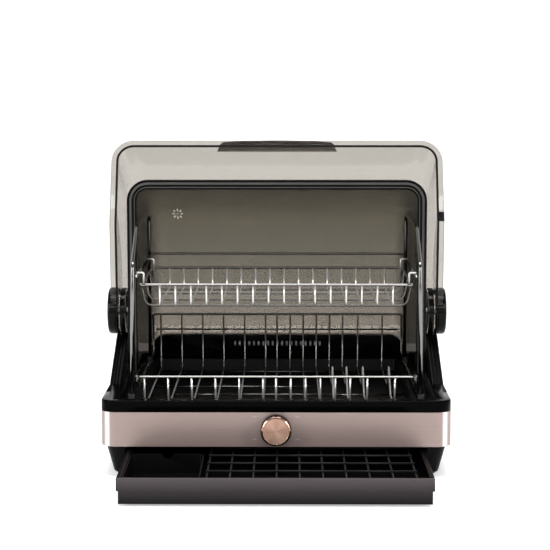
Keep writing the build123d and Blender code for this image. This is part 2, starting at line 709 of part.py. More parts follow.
def lower_basket_rim():
    """Front rim, rear rail and the sloping side wires that join them."""
    x = RAIL_X
    front = wire([at(-x, 120, LOWER_RIM_Z), at(-x, LOWER_FRONT, LOWER_RIM_Z),
                  at(x, LOWER_FRONT, LOWER_RIM_Z), at(x, 120, LOWER_RIM_Z)], RIM_WIRE, 5)
    rear = wire([at(-x, -95, LOWER_REAR_Z), at(-x, LOWER_REAR, LOWER_REAR_Z),
                 at(x, LOWER_REAR, LOWER_REAR_Z), at(x, -95, LOWER_REAR_Z)], RIM_WIRE, 8)
    return [front, rear]


def lower_side_wires():
    """The basket's two ends, from the front rim down to the floor and up to the rear rail."""
    low = LEDGE_Z + FOOT_CAP_H + 3
    rise = RIM_WIRE / 2 + WELD_GAP + 0.5
    path = [at(-RAIL_X, 148, LOWER_RIM_Z - rise), at(-RAIL_X, 138, low), at(-RAIL_X, LOWER_REAR + 18, low),
            at(-RAIL_X, LOWER_REAR + 12, LOWER_REAR_Z - rise)]
    return both_sides(bar(path, 3.0))


def lower_bar(x):
    """One bar of the lower basket; those right of the middle rise into a divider hump."""
    front_top = LOWER_RIM_Z - RIM_WIRE / 2 - WELD_GAP - 0.5
    rear_top = LOWER_REAR_Z - RIM_WIRE / 2 - WELD_GAP
    rear = LOWER_REAR
    points = [at(x, LOWER_FRONT, front_top), at(x, LOWER_FRONT - 8, LOWER_FLOOR_Z + 12)]
    if x > 70:
        points += [at(x, LOWER_FRONT - 30, LOWER_FLOOR_Z), at(x, HUMP_AHEAD + 45, LOWER_FLOOR_Z),
                   at(x, HUMP_AHEAD + 8, HUMP_Z - 6), at(x, HUMP_AHEAD, HUMP_Z),
                   at(x, HUMP_AHEAD - 8, HUMP_Z - 6), at(x, HUMP_AHEAD - 36, LOWER_FLOOR_Z)]
    else:
        points += [at(x, LOWER_FRONT - 18, LOWER_FLOOR_Z)]
    points += [at(x, rear + 8, LOWER_FLOOR_Z), at(x, rear, LOWER_FLOOR_Z + 5), at(x, rear, rear_top)]
    return bar(points)


def lower_basket_bars():
    return [lower_bar(x) for x in lower_bar_places()]


def lower_cross_wires():
    """Wires across the floor under the bars, and one behind the rear bars."""
    z = LOWER_FLOOR_Z - BAR_WIRE - WELD_GAP
    wires = []
    for ahead, low, high in ((-122, -174, 174), (-3, -174, 52), (54, -174, 174), (118, -174, 174)):
        wires.append(bar([at(low, ahead, z), at(high, ahead, z)]))
    back = LOWER_REAR - BAR_WIRE - WELD_GAP
    wires.append(bar([at(-180, back, 138), at(180, back, 138)]))
    return wires


# ---- Upper basket ----
def upper_bar_places():
    return [UPPER_PITCH * (i - (UPPER_BARS - 1) / 2) for i in range(UPPER_BARS)]


def upper_basket_rim():
    x = UPPER_HALF
    z = UPPER_RIM_Z
    half = [at(0, UPPER_FRONT, z), at(-x, UPPER_FRONT, z), at(-x, UPPER_REAR, z), at(0, UPPER_REAR, z)]
    other = [(-px, py, pz) for px, py, pz in half]
    return wire(half, RIM_WIRE, 8) + wire(other, RIM_WIRE, 8)


def upper_bar(x):
    top = UPPER_RIM_Z - RIM_WIRE / 2 - WELD_GAP
    return bar([
        at(x, UPPER_FRONT, top), at(x, UPPER_FRONT - 4, UPPER_FLOOR_Z), at(x, UPPER_REAR + 4, UPPER_FLOOR_Z),
        at(x, UPPER_REAR, top)])


def upper_basket_bars():
    return [upper_bar(x) for x in upper_bar_places()]


def upper_cross_wires():
    """Floor wires whose ends turn up to the rim."""
    z = UPPER_FLOOR_Z - BAR_WIRE - WELD_GAP
    x = UPPER_HALF
    top = UPPER_RIM_Z - RIM_WIRE / 2 - WELD_GAP
    wires = []
    for ahead in (-30, 10, 72, 130):
        wires.append(bar([at(-x, ahead, top), at(-x + 3, ahead, z + 8), at(-x + 13, ahead, z),
                          at(x - 13, ahead, z), at(x - 3, ahead, z + 8), at(x, ahead, top)]))
    return wires


def upper_basket_hooks():
    """Hooks that rise from the rim and lap over the support rail."""
    crest = RAIL_Z + RIM_WIRE / 2 + BAR_WIRE / 2 + 0.2
    hooks = []
    for ahead in (UPPER_FRONT - 14, UPPER_REAR + 14):
        inner = UPPER_HALF - RIM_WIRE / 2 - BAR_WIRE / 2 - WELD_GAP
        points = [at(-inner, ahead, UPPER_RIM_Z - 3), at(-inner, ahead, crest - 3), at(-inner - 3, ahead, crest),
                  at(-RAIL_X - 1, ahead, crest)]
        hooks += both_sides(bar(points))
    return hooks


# ---- Drawer ----
def drawer_tray():
    """Open box with a rim that slides on the runners."""
    half = DRAWER_W / 2
    floor = DRAWER_FRONT_Z + 1.2
    front, rear = DRAWER_Y + FRONT_T, DRAWER_Y + DRAWER_L
    wall = half - DRAWER_RIM
    tray = block(-wall, wall, front, rear, floor, DRAWER_TOP)
    tray += block(-half, half, front, rear, DRAWER_TOP - DRAWER_WALL, DRAWER_TOP)
    inner = wall - DRAWER_WALL
    tray -= block(-inner, inner, front + DRAWER_WALL, rear - DRAWER_WALL, floor + DRAWER_WALL, 60)
    return tray


def drawer_front():
    """Front panel whose lower half steps in at both ends."""
    half = DRAWER_W / 2
    step_z = (DRAWER_FRONT_Z + DRAWER_TOP) / 2
    front = block(-half, half, DRAWER_Y, DRAWER_Y + FRONT_T, step_z, DRAWER_TOP)
    low = half - FRONT_STEP
    return front + block(-low, low, DRAWER_Y, DRAWER_Y + FRONT_T, DRAWER_FRONT_Z, step_z)


def cutlery_box():
    """Lift-out box for cutlery at the left, with a finger notch in its rear rim."""
    left = -DRAWER_W / 2 + DRAWER_RIM + DRAWER_WALL + RUN_GAP
    right = left + CUTLERY_W
    front = DRAWER_Y + FRONT_T + DRAWER_WALL + RUN_GAP
    rear = front + CUTLERY_L
    floor = DRAWER_FRONT_Z + 1.2 + DRAWER_WALL
    width, depth = CUTLERY_W, CUTLERY_L
    middle = Pos((left + right) / 2, (front + rear) / 2, 0)
    box = extrude(middle * Pos(0, 0, floor) * RectangleRounded(width, depth, 8), DRAWER_TOP - 0.5 - floor)
    inner = RectangleRounded(width - 2 * CUTLERY_WALL, depth - 2 * CUTLERY_WALL, 8 - CUTLERY_WALL)
    box -= extrude(middle * Pos(0, 0, floor + CUTLERY_WALL) * inner, 40)
    notch = Pos((left + right) / 2, rear, DRAWER_TOP) * Rot(90, 0, 0) * Cylinder(7, 8)
    return box - notch


def drawer_grate():
    """Wire grate on short legs over the rest of the drawer floor."""
    left = -83.6
    places = [left + GRATE_PITCH * i for i in range(10)]
    front, rear = DRAWER_Y + 14, DRAWER_Y + DRAWER_L - 14
    floor = DRAWER_FRONT_Z + 1.2 + DRAWER_WALL
    top = GRATE_Z + GRATE_WIRE + WELD_GAP
    wires = []
    for x in places:
        legs = x in (places[0], places[-1])
        ends = [(x, front, GRATE_Z), (x, rear, GRATE_Z)]
        if legs:
            ends = [(x, front, floor)] + ends + [(x, rear, floor)]
        wires.append(bar(ends, GRATE_WIRE))
    rows = 7
    first, pitch = DRAWER_Y + 47.5, 41.5
    for row in range(rows):
        y = first + pitch * row
        wires.append(bar([(places[0] - 2, y, top), (places[-1] + 2, y, top)], GRATE_WIRE))
    return wires


# ---- Write every node ----
NODES = {
    "base_housing": base_housing,
    "bottom_plate": bottom_plate,
    "rubber_feet": rubber_feet,
    "fascia_band": fascia_band,
    "rim_deck": rim_deck,
    "basin_tray": basin_tray,
    "drawer_runners": drawer_runners,
    "base_screws": base_screws,
    "cord_gland": cord_gland,
    "timer_body": timer_body,
    "timer_shaft": timer_shaft,
    "timer_knob": timer_knob,
    "knob_cap": knob_cap,
    "air_duct": air_duct,
    "blower_housing": blower_housing,
    "blower_motor": blower_motor,
    "blower_impeller": blower_impeller,
    "heater_block": heater_block,
    "thermal_cutout": thermal_cutout,
    "uv_lamp": uv_lamp,
    "lamp_holders": lamp_holders,
    "side_post_left": side_post,
    "side_post_right": lambda: both_sides(side_post())[1],
    "hub_collar_left": hub_collar,
    "hub_collar_right": lambda: both_sides(hub_collar())[1],
    "hinge_pin_left": hinge_pin,
    "hinge_pin_right": lambda: both_sides(hinge_pin())[1],
    "rear_shell": rear_shell,
    "rear_shell_rim": rear_shell_rim,
    "lid_shell": lambda: opened(lid_shell()),
    "lid_seal": lambda: opened(lid_seal()),
    "lid_handle": lambda: opened(lid_handle()),
    "switch_tab": lambda: opened(switch_tab()),
    "hub_cap_left": lambda: opened(hub_cap()),
    "hub_cap_right": lambda: opened(both_sides(hub_cap())[1]),
    "rack_frame_left": lambda: rack_frame(-FRAME_X),
    "rack_frame_right": lambda: rack_frame(FRAME_X),
    "rack_feet": rack_feet,
    "support_rail": support_rail,
    "lower_basket_rim": lower_basket_rim,
    "lower_side_wires": lower_side_wires,
    "lower_basket_bars": lower_basket_bars,
    "lower_cross_wires": lower_cross_wires,
    "upper_basket_rim": upper_basket_rim,
    "upper_basket_bars": upper_basket_bars,
    "upper_cross_wires": upper_cross_wires,
    "upper_basket_hooks": upper_basket_hooks,
    "drawer_tray": drawer_tray,
    "drawer_front": drawer_front,
    "cutlery_box": cutlery_box,
    "drawer_grate": drawer_grate,
}

os.makedirs("parts", exist_ok=True)
for name, make in NODES.items():
    made = make()
    solids = []
    for piece in made if isinstance(made, list) else [made]:
        solids += piece.solids()
    export_step(Compound(children=solids), f"parts/{name}.step")
    print(name, len(solids))
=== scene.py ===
import json
from math import acos, asin, atan2, cos, pi, radians, sin, tan

import bmesh
import bpy
import numpy as np
from mathutils import Matrix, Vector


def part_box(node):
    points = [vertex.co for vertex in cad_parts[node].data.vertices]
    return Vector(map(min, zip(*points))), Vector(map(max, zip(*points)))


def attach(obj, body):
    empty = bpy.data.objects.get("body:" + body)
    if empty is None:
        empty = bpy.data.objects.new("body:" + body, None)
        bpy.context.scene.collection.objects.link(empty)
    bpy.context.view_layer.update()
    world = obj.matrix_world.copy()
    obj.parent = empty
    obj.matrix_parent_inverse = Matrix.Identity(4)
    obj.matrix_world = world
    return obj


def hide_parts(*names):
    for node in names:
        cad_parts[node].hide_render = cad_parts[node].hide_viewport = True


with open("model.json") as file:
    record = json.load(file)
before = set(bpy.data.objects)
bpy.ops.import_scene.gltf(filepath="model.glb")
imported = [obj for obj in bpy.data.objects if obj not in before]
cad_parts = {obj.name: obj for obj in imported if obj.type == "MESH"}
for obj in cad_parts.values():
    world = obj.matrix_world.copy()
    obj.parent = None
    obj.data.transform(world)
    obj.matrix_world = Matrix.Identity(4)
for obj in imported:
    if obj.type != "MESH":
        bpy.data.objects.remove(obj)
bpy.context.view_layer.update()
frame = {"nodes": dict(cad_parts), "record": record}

# ---- The room ----
# A pale sweep of floor and wall, seen from a little above the cabinet through a long lens.
# Lengths are in metres: +X is the cabinet's right, +Y its back, +Z up from the worktop.
MM = 0.001
MERGE_WITHIN = 2e-6


def grid_quads(rows, cols, round_rows=False, round_cols=False):
    """Corner numbers of the quads of a grid of points; a round direction joins its end to its start."""
    row = np.arange(rows if round_rows else rows - 1)
    col = np.arange(cols if round_cols else cols - 1)
    row, col = np.meshgrid(row, col, indexing="ij")
    next_row, next_col = (row + 1) % rows, (col + 1) % cols
    corners = [row * cols + col, row * cols + next_col, next_row * cols + next_col, next_row * cols + col]
    return np.stack(corners, -1).reshape(-1, 4)


def new_object(name, points, faces):
    """A smooth-shaded object at the origin, with its doubles merged and its faces turned outwards."""
    mesh = bpy.data.meshes.new(name)
    mesh.from_pydata(np.asarray(points).reshape(-1, 3).tolist(), [], [list(map(int, f)) for f in faces])
    work = bmesh.new()
    work.from_mesh(mesh)
    bmesh.ops.remove_doubles(work, verts=work.verts, dist=MERGE_WITHIN)
    bmesh.ops.recalc_face_normals(work, faces=work.faces)
    work.to_mesh(mesh)
    work.free()
    mesh.shade_smooth()
    made = bpy.data.objects.new(name, mesh)
    bpy.context.scene.collection.objects.link(made)
    return made


def principled(name, colour, roughness, metallic=0.0, **sockets):
    """A material with one Principled shader, and its constant values set on the shader's own sockets."""
    material = bpy.data.materials.new(name)
    material.use_nodes = True
    shader = material.node_tree.nodes["Principled BSDF"]
    shader.inputs["Base Color"].default_value = (*colour, 1)
    shader.inputs["Roughness"].default_value = roughness
    shader.inputs["Metallic"].default_value = metallic
    for socket, value in sockets.items():
        shader.inputs[socket.replace("_", " ").title().replace("Ior", "IOR")].default_value = value
    return material, shader


FLOOR_SIZE = 8.0
SWEEP_RADIUS = 1.2
WALL_Y = 2.6
FLOOR_DROP = 0.2 * MM  # keeps the floor clear of the feet
PAPER_GLOW = 0.42  # how much the paper glows to the camera, to metal and to glass
AIR_GLOW = 0.22
turn = np.linspace(0, pi / 2, 16)
sweep_y = np.r_[-FLOOR_SIZE, WALL_Y - SWEEP_RADIUS + SWEEP_RADIUS * np.sin(turn), WALL_Y]
sweep_z = np.r_[0, SWEEP_RADIUS * (1 - np.cos(turn)), FLOOR_SIZE]
sweep_x = np.array([-FLOOR_SIZE, FLOOR_SIZE])
across, along = np.meshgrid(sweep_x, np.arange(len(sweep_y)))
sweep = np.stack([across, sweep_y[along], sweep_z[along] - FLOOR_DROP], -1)
room = new_object("room_sweep", sweep, grid_quads(*sweep.shape[:2]))
paper, paper_shader = principled("pale_paper", (0.86, 0.86, 0.86), 0.9, specular_ior_level=0.1)
nodes, links = paper.node_tree.nodes, paper.node_tree.links
rays = nodes.new("ShaderNodeLightPath")
mirrored = nodes.new("ShaderNodeMath")
mirrored.operation = "MAXIMUM"
glazed = nodes.new("ShaderNodeMath")
glazed.operation = "MAXIMUM"
seen = nodes.new("ShaderNodeMath")
seen.operation = "MULTIPLY"
seen.inputs[1].default_value = PAPER_GLOW
links.new(rays.outputs["Is Camera Ray"], mirrored.inputs[0])
links.new(rays.outputs["Is Glossy Ray"], mirrored.inputs[1])
links.new(mirrored.outputs[0], glazed.inputs[0])
links.new(rays.outputs["Is Transmission Ray"], glazed.inputs[1])
links.new(glazed.outputs[0], seen.inputs[0])
paper_shader.inputs["Emission Color"].default_value = (1, 1, 1, 1)
links.new(seen.outputs[0], paper_shader.inputs["Emission Strength"])
room.data.materials.append(paper)

world = bpy.data.worlds.new("studio_air")
bpy.context.scene.world = world
world.use_nodes = True
world.node_tree.nodes["Background"].inputs["Color"].default_value = (1, 1, 1, 1)
world.node_tree.nodes["Background"].inputs["Strength"].default_value = AIR_GLOW


def soft_box(name, place, aim, size, watts):
    """A rectangular lamp that faces a point."""
    lamp = bpy.data.lights.new(name, "AREA")
    lamp.shape = "RECTANGLE"
    lamp.size, lamp.size_y = size
    lamp.energy = watts
    holder = bpy.data.objects.new(name, lamp)
    bpy.context.scene.collection.objects.link(holder)
    away = np.array(place, float) - np.array(aim, float)
    across_axis = np.cross((0, 0, 1), away)
    axes = [v / np.linalg.norm(v) for v in (across_axis, np.cross(away, across_axis), away)]
    holder.matrix_world = Matrix.Translation(place) @ Matrix(np.array(axes).T.tolist()).to_4x4()


soft_box("lamp_over", (0, -0.4, 2.3), (0, 0, 0.1), (1.6, 0.6), 52)
soft_box("lamp_left", (-2.1, -1.5, 0.9), (0, 0, 0.15), (0.3, 1.5), 32)
soft_box("lamp_right", (2.1, -1.5, 0.9), (0, 0, 0.15), (0.3, 1.5), 32)
soft_box("lamp_front", (0, -3.2, 1.7), (0, -0.2, 0.1), (2.4, 0.4), 24)
soft_box("lamp_low", (0, -4.8, 1.5), (0, 0, 0.2), (3.2, 2.4), 24)

# The camera, fitted to the photograph: 7 degrees down, 2.27 m in front of the origin.
PICTURE_WIDE, FOCAL_LENGTH = 550, 1656.1  # both in pixels
SENSOR_WIDE = 36.0
CAMERA_DOWN, CAMERA_YAW = radians(6.99), 0.0065
camera_data = bpy.data.cameras.new("camera")
camera_data.sensor_width = SENSOR_WIDE
camera_data.lens = FOCAL_LENGTH / PICTURE_WIDE * SENSOR_WIDE
camera = bpy.data.objects.new("camera", camera_data)
camera.location = (0.0122, -2.2688, 0.5166)
camera.rotation_euler = (pi / 2 - CAMERA_DOWN, 0, CAMERA_YAW)
bpy.context.scene.collection.objects.link(camera)
bpy.context.scene.camera = camera
bpy.context.scene.view_settings.view_transform = "Standard"

# ---- Base housing, bottom plate, feet, screws and inlet ----
# Satin black moulding that draws in below the band, with a steel sheet screwed under it.
# Vent slots and the mains inlet are in its back wall.


def value_group(name, inputs, outputs):
    """An empty shader group with named sockets: (name, kind, default) for each input."""
    group = bpy.data.node_groups.new(name, "ShaderNodeTree")
    for label, kind, default in inputs:
        group.interface.new_socket(label, in_out="INPUT", socket_type=kind).default_value = default
    for label, kind in outputs:
        group.interface.new_socket(label, in_out="OUTPUT", socket_type=kind)
    return group, group.nodes.new("NodeGroupInput"), group.nodes.new("NodeGroupOutput")


# Moulded grain: fine specks that vary the gloss and dent the surface a little, with slow broad cloudiness.
FLOAT = "NodeSocketFloat"
grain, grain_in, grain_out = value_group(
    "moulded_grain",
    [("Scale", FLOAT, 900.0), ("Gloss", FLOAT, 0.3), ("Spread", FLOAT, 0.08), ("Dent", FLOAT, 0.1)],
    [("Roughness", FLOAT), ("Normal", "NodeSocketVector")])
place = grain.nodes.new("ShaderNodeTexCoord")
speck = grain.nodes.new("ShaderNodeTexNoise")
cloud = grain.nodes.new("ShaderNodeTexNoise")
cloud.inputs["Scale"].default_value = 14.0
both = grain.nodes.new("ShaderNodeMath")
both.operation = "ADD"
shade = grain.nodes.new("ShaderNodeMapRange")
shade.inputs["From Max"].default_value = 2.0
low = grain.nodes.new("ShaderNodeMath")
low.operation = "SUBTRACT"
high = grain.nodes.new("ShaderNodeMath")
bump = grain.nodes.new("ShaderNodeBump")
bump.inputs["Distance"].default_value = 0.00015
grain.links.new(place.outputs["Object"], speck.inputs["Vector"])
grain.links.new(place.outputs["Object"], cloud.inputs["Vector"])
grain.links.new(grain_in.outputs["Scale"], speck.inputs["Scale"])
grain.links.new(speck.outputs["Fac"], both.inputs[0])
grain.links.new(cloud.outputs["Fac"], both.inputs[1])
grain.links.new(grain_in.outputs["Gloss"], low.inputs[0])
grain.links.new(grain_in.outputs["Spread"], low.inputs[1])
grain.links.new(grain_in.outputs["Gloss"], high.inputs[0])
grain.links.new(grain_in.outputs["Spread"], high.inputs[1])
grain.links.new(both.outputs[0], shade.inputs["Value"])
grain.links.new(low.outputs[0], shade.inputs["To Min"])
grain.links.new(high.outputs[0], shade.inputs["To Max"])
grain.links.new(shade.outputs["Result"], grain_out.inputs["Roughness"])
grain.links.new(speck.outputs["Fac"], bump.inputs["Height"])
grain.links.new(grain_in.outputs["Dent"], bump.inputs["Strength"])
grain.links.new(bump.outputs["Normal"], grain_out.inputs["Normal"])


def grained(name, colour, gloss, spread=0.05, dent=0.06, scale=900.0, **sockets):
    """A moulded finish: one Principled shader whose gloss and normal come from the grain."""
    material, shader = principled(name, colour, gloss, **sockets)
    tree = material.node_tree
    step = tree.nodes.new("ShaderNodeGroup")
    step.node_tree = grain
    for label, value in (("Scale", scale), ("Gloss", gloss), ("Spread", spread), ("Dent", dent)):
        step.inputs[label].default_value = value
    tree.links.new(step.outputs["Roughness"], shader.inputs["Roughness"])
    tree.links.new(step.outputs["Normal"], shader.inputs["Normal"])
    return material


SHARP_EDGE = 32  # degrees: edges that turn by more are rounded


def eased(made, width, segments=2, angle=SHARP_EDGE):
    """Rounds every edge of a piece that is sharper than the angle."""
    ease = made.modifiers.new("eased_edges", "BEVEL")
    ease.width = width
    ease.segments = segments
    ease.limit_method = "ANGLE"
    ease.angle_limit = radians(angle)
    ease.harden_normals = True
    return made


def softened(node, name, edge, body, material):
    """A moulding with eased corners: the node's copy, its flat facets joined, then every sharp edge bevelled."""
    mesh = frame["nodes"][node].data.copy()
    mesh.materials.clear()
    work = bmesh.new()
    work.from_mesh(mesh)
    bmesh.ops.remove_doubles(work, verts=work.verts, dist=MERGE_WITHIN)
    bmesh.ops.dissolve_limit(work, angle_limit=radians(0.4), verts=work.verts, edges=work.edges)
    work.to_mesh(mesh)
    work.free()
    mesh.shade_smooth()
    made = bpy.data.objects.new(name, mesh)
    bpy.context.scene.collection.objects.link(made)
    eased(made, edge)
    mesh.materials.append(material)
    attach(made, body)
    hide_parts(node)
    return made


def finish_node(node, material):
    """Gives a node that keeps its shape its finish."""
    mesh = frame["nodes"][node].data
    mesh.materials.clear()
    mesh.materials.append(material)


satin_black = grained("satin_black", (0.0025, 0.0025, 0.0027), 0.36, 0.06, 0.05, specular_ior_level=0.07, ior=1.4)
plate_steel = grained("plate_steel", (0.5, 0.5, 0.5), 0.4, 0.1, 0.03, 300.0, metallic=1.0)
foot_rubber = grained("foot_rubber", (0.02, 0.02, 0.02), 0.75, 0.08, 0.3, 1500.0)
softened("base_housing", "housing_moulding", 0.5 * MM, "cabinet", satin_black)
for part in ("bottom_plate", "base_screws"):
    finish_node(part, plate_steel)
for part in ("rubber_feet", "rack_feet"):
    finish_node(part, foot_rubber)
for part in ("drawer_runners", "cord_gland"):
    finish_node(part, satin_black)

# ---- Fascia band ----
# Thin brushed sheet wrapped round the front and sides of the housing, rose taupe, with eased edges.
# It is brushed along its length, and clipped over the housing from the front.
BAND_THICK = 1.5 * MM
BAND_CORNER = 20 * MM
BAND_OVER = 2 * MM  # how far its lower edge reaches down over the housing
SHINE_IN, SHINE_OUT = 13.5 * MM, 3.5 * MM  # the pale line up each corner, in from the band's side


def sweep_profile(spine, outward, profile, up=(0, 0, 1)):
    """A closed profile of (out, up) pairs carried along a spine: point = spine + out * outward + rise * up."""
    profile = np.asarray(profile, float)
    up = np.broadcast_to(up, spine.shape)
    return spine[:, None] + profile[None, :, :1] * outward[:, None] + profile[None, :, 1:] * up[:, None]


def closed_sweep(name, rings):
    """The solid skin of an open run of closed rings, with a face over each end."""
    rows, cols = rings.shape[:2]
    faces = [list(quad) for quad in grid_quads(rows, cols, round_cols=True)]
    faces += [list(range(cols)), list(range((rows - 1) * cols, rows * cols))]
    return new_object(name, rings, faces)


def place_piece(made, body, material, finish, *stood_for):
    """Finishes a new piece: its material, the body that it rides on and the nodes that it stands for."""
    made.data.materials.append(material)
    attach(made, body)
    if stood_for:
        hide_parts(*stood_for)
    return made


band_low, band_high = (np.array(corner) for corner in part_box("fascia_band"))
quarter = np.linspace(0, pi / 2, 13)
corner_x = band_high[0] - BAND_CORNER + BAND_CORNER * np.sin(quarter)
corner_y = band_low[1] + BAND_CORNER - BAND_CORNER * np.cos(quarter)
side_y = np.linspace(band_low[1] + BAND_CORNER, band_high[1], 7)[1:]
half_x = np.r_[0, corner_x, np.full(6, band_high[0])]
half_y = np.r_[band_low[1], corner_y, side_y]
spine = np.stack([np.r_[-half_x[:0:-1], half_x], np.r_[half_y[:0:-1], half_y], np.zeros(2 * len(half_x) - 1)], -1)
half_out = np.r_[[[0, -1]], np.stack([np.sin(quarter), -np.cos(quarter)], -1), np.tile([1.0, 0.0], (6, 1))]
outward = np.r_[half_out[:0:-1] * [-1, 1], half_out]
outward = np.c_[outward, np.zeros(len(outward))]
band_foot = band_low[2] - BAND_OVER
band_profile = [(-BAND_THICK, band_foot), (0, band_foot), (0, band_high[2]), (-BAND_THICK, band_high[2])]
band = eased(closed_sweep("band_sheet", sweep_profile(spine, outward, band_profile)), 0.5 * MM)


def ramp_of(nodes, stops, blend="LINEAR"):
    """A colour ramp with a stop at each (place, colour) pair."""
    ramp = nodes.new("ShaderNodeValToRGB")
    ramp.color_ramp.interpolation = blend
    while len(ramp.color_ramp.elements) < len(stops):
        ramp.color_ramp.elements.new(0.5)
    for stop, (where, colour) in zip(ramp.color_ramp.elements, stops):
        stop.position = where
        stop.color = (*colour, 1)
    return ramp


BLACK, WHITE = (0, 0, 0), (1, 1, 1)
brushed, brushed_shader = principled("brushed_taupe", (0.29, 0.225, 0.21), 0.3, 0.4, anisotropic=0.6)
nodes, links = brushed.node_tree.nodes, brushed.node_tree.links
place = nodes.new("ShaderNodeTexCoord")
stretch = nodes.new("ShaderNodeMapping")
stretch.inputs["Scale"].default_value = (3.0, 3.0, 2600.0)
streak = nodes.new("ShaderNodeTexNoise")
streak.inputs["Scale"].default_value = 1.0
streak.inputs["Detail"].default_value = 4.0
tint = nodes.new("ShaderNodeMix")
tint.data_type = "RGBA"
tint.inputs["A"].default_value = (0.27, 0.205, 0.188, 1)
tint.inputs["B"].default_value = (0.35, 0.267, 0.246, 1)
gloss = nodes.new("ShaderNodeMapRange")
gloss.inputs["To Min"].default_value = 0.24
gloss.inputs["To Max"].default_value = 0.36
dent = nodes.new("ShaderNodeBump")
dent.inputs["Strength"].default_value = 0.12
dent.inputs["Distance"].default_value = 0.0002
links.new(place.outputs["Object"], stretch.inputs["Vector"])
links.new(stretch.outputs["Vector"], streak.inputs["Vector"])
links.new(streak.outputs["Fac"], tint.inputs["Factor"])
links.new(streak.outputs["Fac"], gloss.inputs["Value"])
links.new(streak.outputs["Fac"], dent.inputs["Height"])
# A pale line is painted up each corner bend: it stands in for the bright reflection that the bend shows.
parts = nodes.new("ShaderNodeSeparateXYZ")
far = nodes.new("ShaderNodeMath")
far.operation = "ABSOLUTE"
corner_share = nodes.new("ShaderNodeMapRange")
corner_share.inputs["From Min"].default_value = band_high[0] - SHINE_IN
corner_share.inputs["From Max"].default_value = band_high[0] - SHINE_OUT
shine = ramp_of(nodes, [(0.0, BLACK), (0.5, WHITE), (1.0, BLACK)], "EASE")
bent = nodes.new("ShaderNodeMix")
bent.data_type = "RGBA"
bent.inputs["B"].default_value = (0.95, 0.86, 0.84, 1)
links.new(place.outputs["Object"], parts.inputs["Vector"])
links.new(parts.outputs["X"], far.inputs[0])
links.new(far.outputs[0], corner_share.inputs["Value"])
links.new(corner_share.outputs["Result"], shine.inputs["Fac"])
links.new(shine.outputs["Color"], bent.inputs["Factor"])
links.new(tint.outputs["Result"], bent.inputs["A"])
links.new(bent.outputs["Result"], brushed_shader.inputs["Base Color"])
links.new(gloss.outputs["Result"], brushed_shader.inputs["Roughness"])
links.new(dent.outputs["Normal"], brushed_shader.inputs["Normal"])
place_piece(band, "cabinet", brushed, "brushed_taupe", "fascia_band")

# ---- Rim deck and drip basin ----
# Glossy black moulding set over the band: a rounded rim with a ledge inside it.
# The basin is a separate black tray sunk into it, which lifts out to be emptied.
gloss_black = grained(
    "gloss_black", (0.0018, 0.0018, 0.002), 0.1, 0.03, 0.012, 260.0, specular_ior_level=0.13, ior=1.4)
deck_black = grained(
    "deck_black", (0.0012, 0.0012, 0.0013), 0.14, 0.04, 0.015, 260.0, specular_ior_level=0.03, ior=1.4)
softened("rim_deck", "deck_moulding", 0.6 * MM, "cabinet", deck_black)
softened("basin_tray", "drip_basin", 0.7 * MM, "cabinet", satin_black)

# ---- Timer knob ----
# Black turned body pushed on the timer's shaft, with a spun copper-coloured disc set in its face.
# Four small printed marks stand round it on the band, each a pair of dots.
KNOB_POINTS = 96
knob_low, knob_high = (np.array(corner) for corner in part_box("timer_knob"))
cap_low, cap_high = (np.array(corner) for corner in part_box("knob_cap"))
knob_centre = (knob_low + knob_high) / 2


def turned(name, profile, centre, axis="y", steps=KNOB_POINTS):
    """A turned piece: (radius, place along the axis) pairs spun round; radius 0 closes a pole."""
    profile = np.asarray(profile, float)
    around = np.linspace(0, 2 * pi, steps, endpoint=False)[:, None]
    radius, along = profile[None, :, 0], np.broadcast_to(profile[None, :, 1], (steps, len(profile)))
    one, two = radius * np.cos(around), radius * np.sin(around)
    if axis == "y":
        points = np.stack([centre[0] + one, along, centre[2] + two], -1)
    else:
        points = np.stack([along, centre[1] + one, centre[2] + two], -1)
    return new_object(name, points, grid_quads(*points.shape[:2], round_rows=True))


def fillet_points(corners, radii, steps=5):
    """A profile whose inner corners are rounded: each arc is start + r sin(a) u + r (1 - cos(a)) n."""
    corners = np.asarray(corners, float)
    run = np.diff(corners, axis=0)
    run = run / np.linalg.norm(run, axis=1, keepdims=True)
    turn_by = np.arccos(np.clip((run[:-1] * run[1:]).sum(1), -1, 1))
    radii = np.broadcast_to(radii, turn_by.shape)[:, None]
    side = run[1:] - run[:-1] * np.cos(turn_by)[:, None]
    side = side / np.maximum(np.linalg.norm(side, axis=1, keepdims=True), 1e-12)
    start = corners[1:-1] - run[:-1] * radii * np.tan(turn_by / 2)[:, None]
    angle = (np.linspace(0, 1, steps + 1)[None] * turn_by[:, None])[..., None]
    arcs = start[:, None] + radii[:, None] * (np.sin(angle) * run[:-1, None] + (1 - np.cos(angle)) * side[:, None])
    return np.concatenate([corners[:1], arcs.reshape(-1, corners.shape[1]), corners[-1:]])


knob_radius = (knob_high[0] - knob_low[0]) / 2
knob_face, knob_back = cap_high[1], knob_high[1]
body_line = fillet_points(
    [(0, knob_face), (knob_radius, knob_face), (knob_radius, knob_back), (0, knob_back)],
    np.array([1.0, 0.6]) * MM)
knob_body = turned("knob_body", body_line, knob_centre)
place_piece(knob_body, "knob", gloss_black, "gloss_black", "timer_knob")

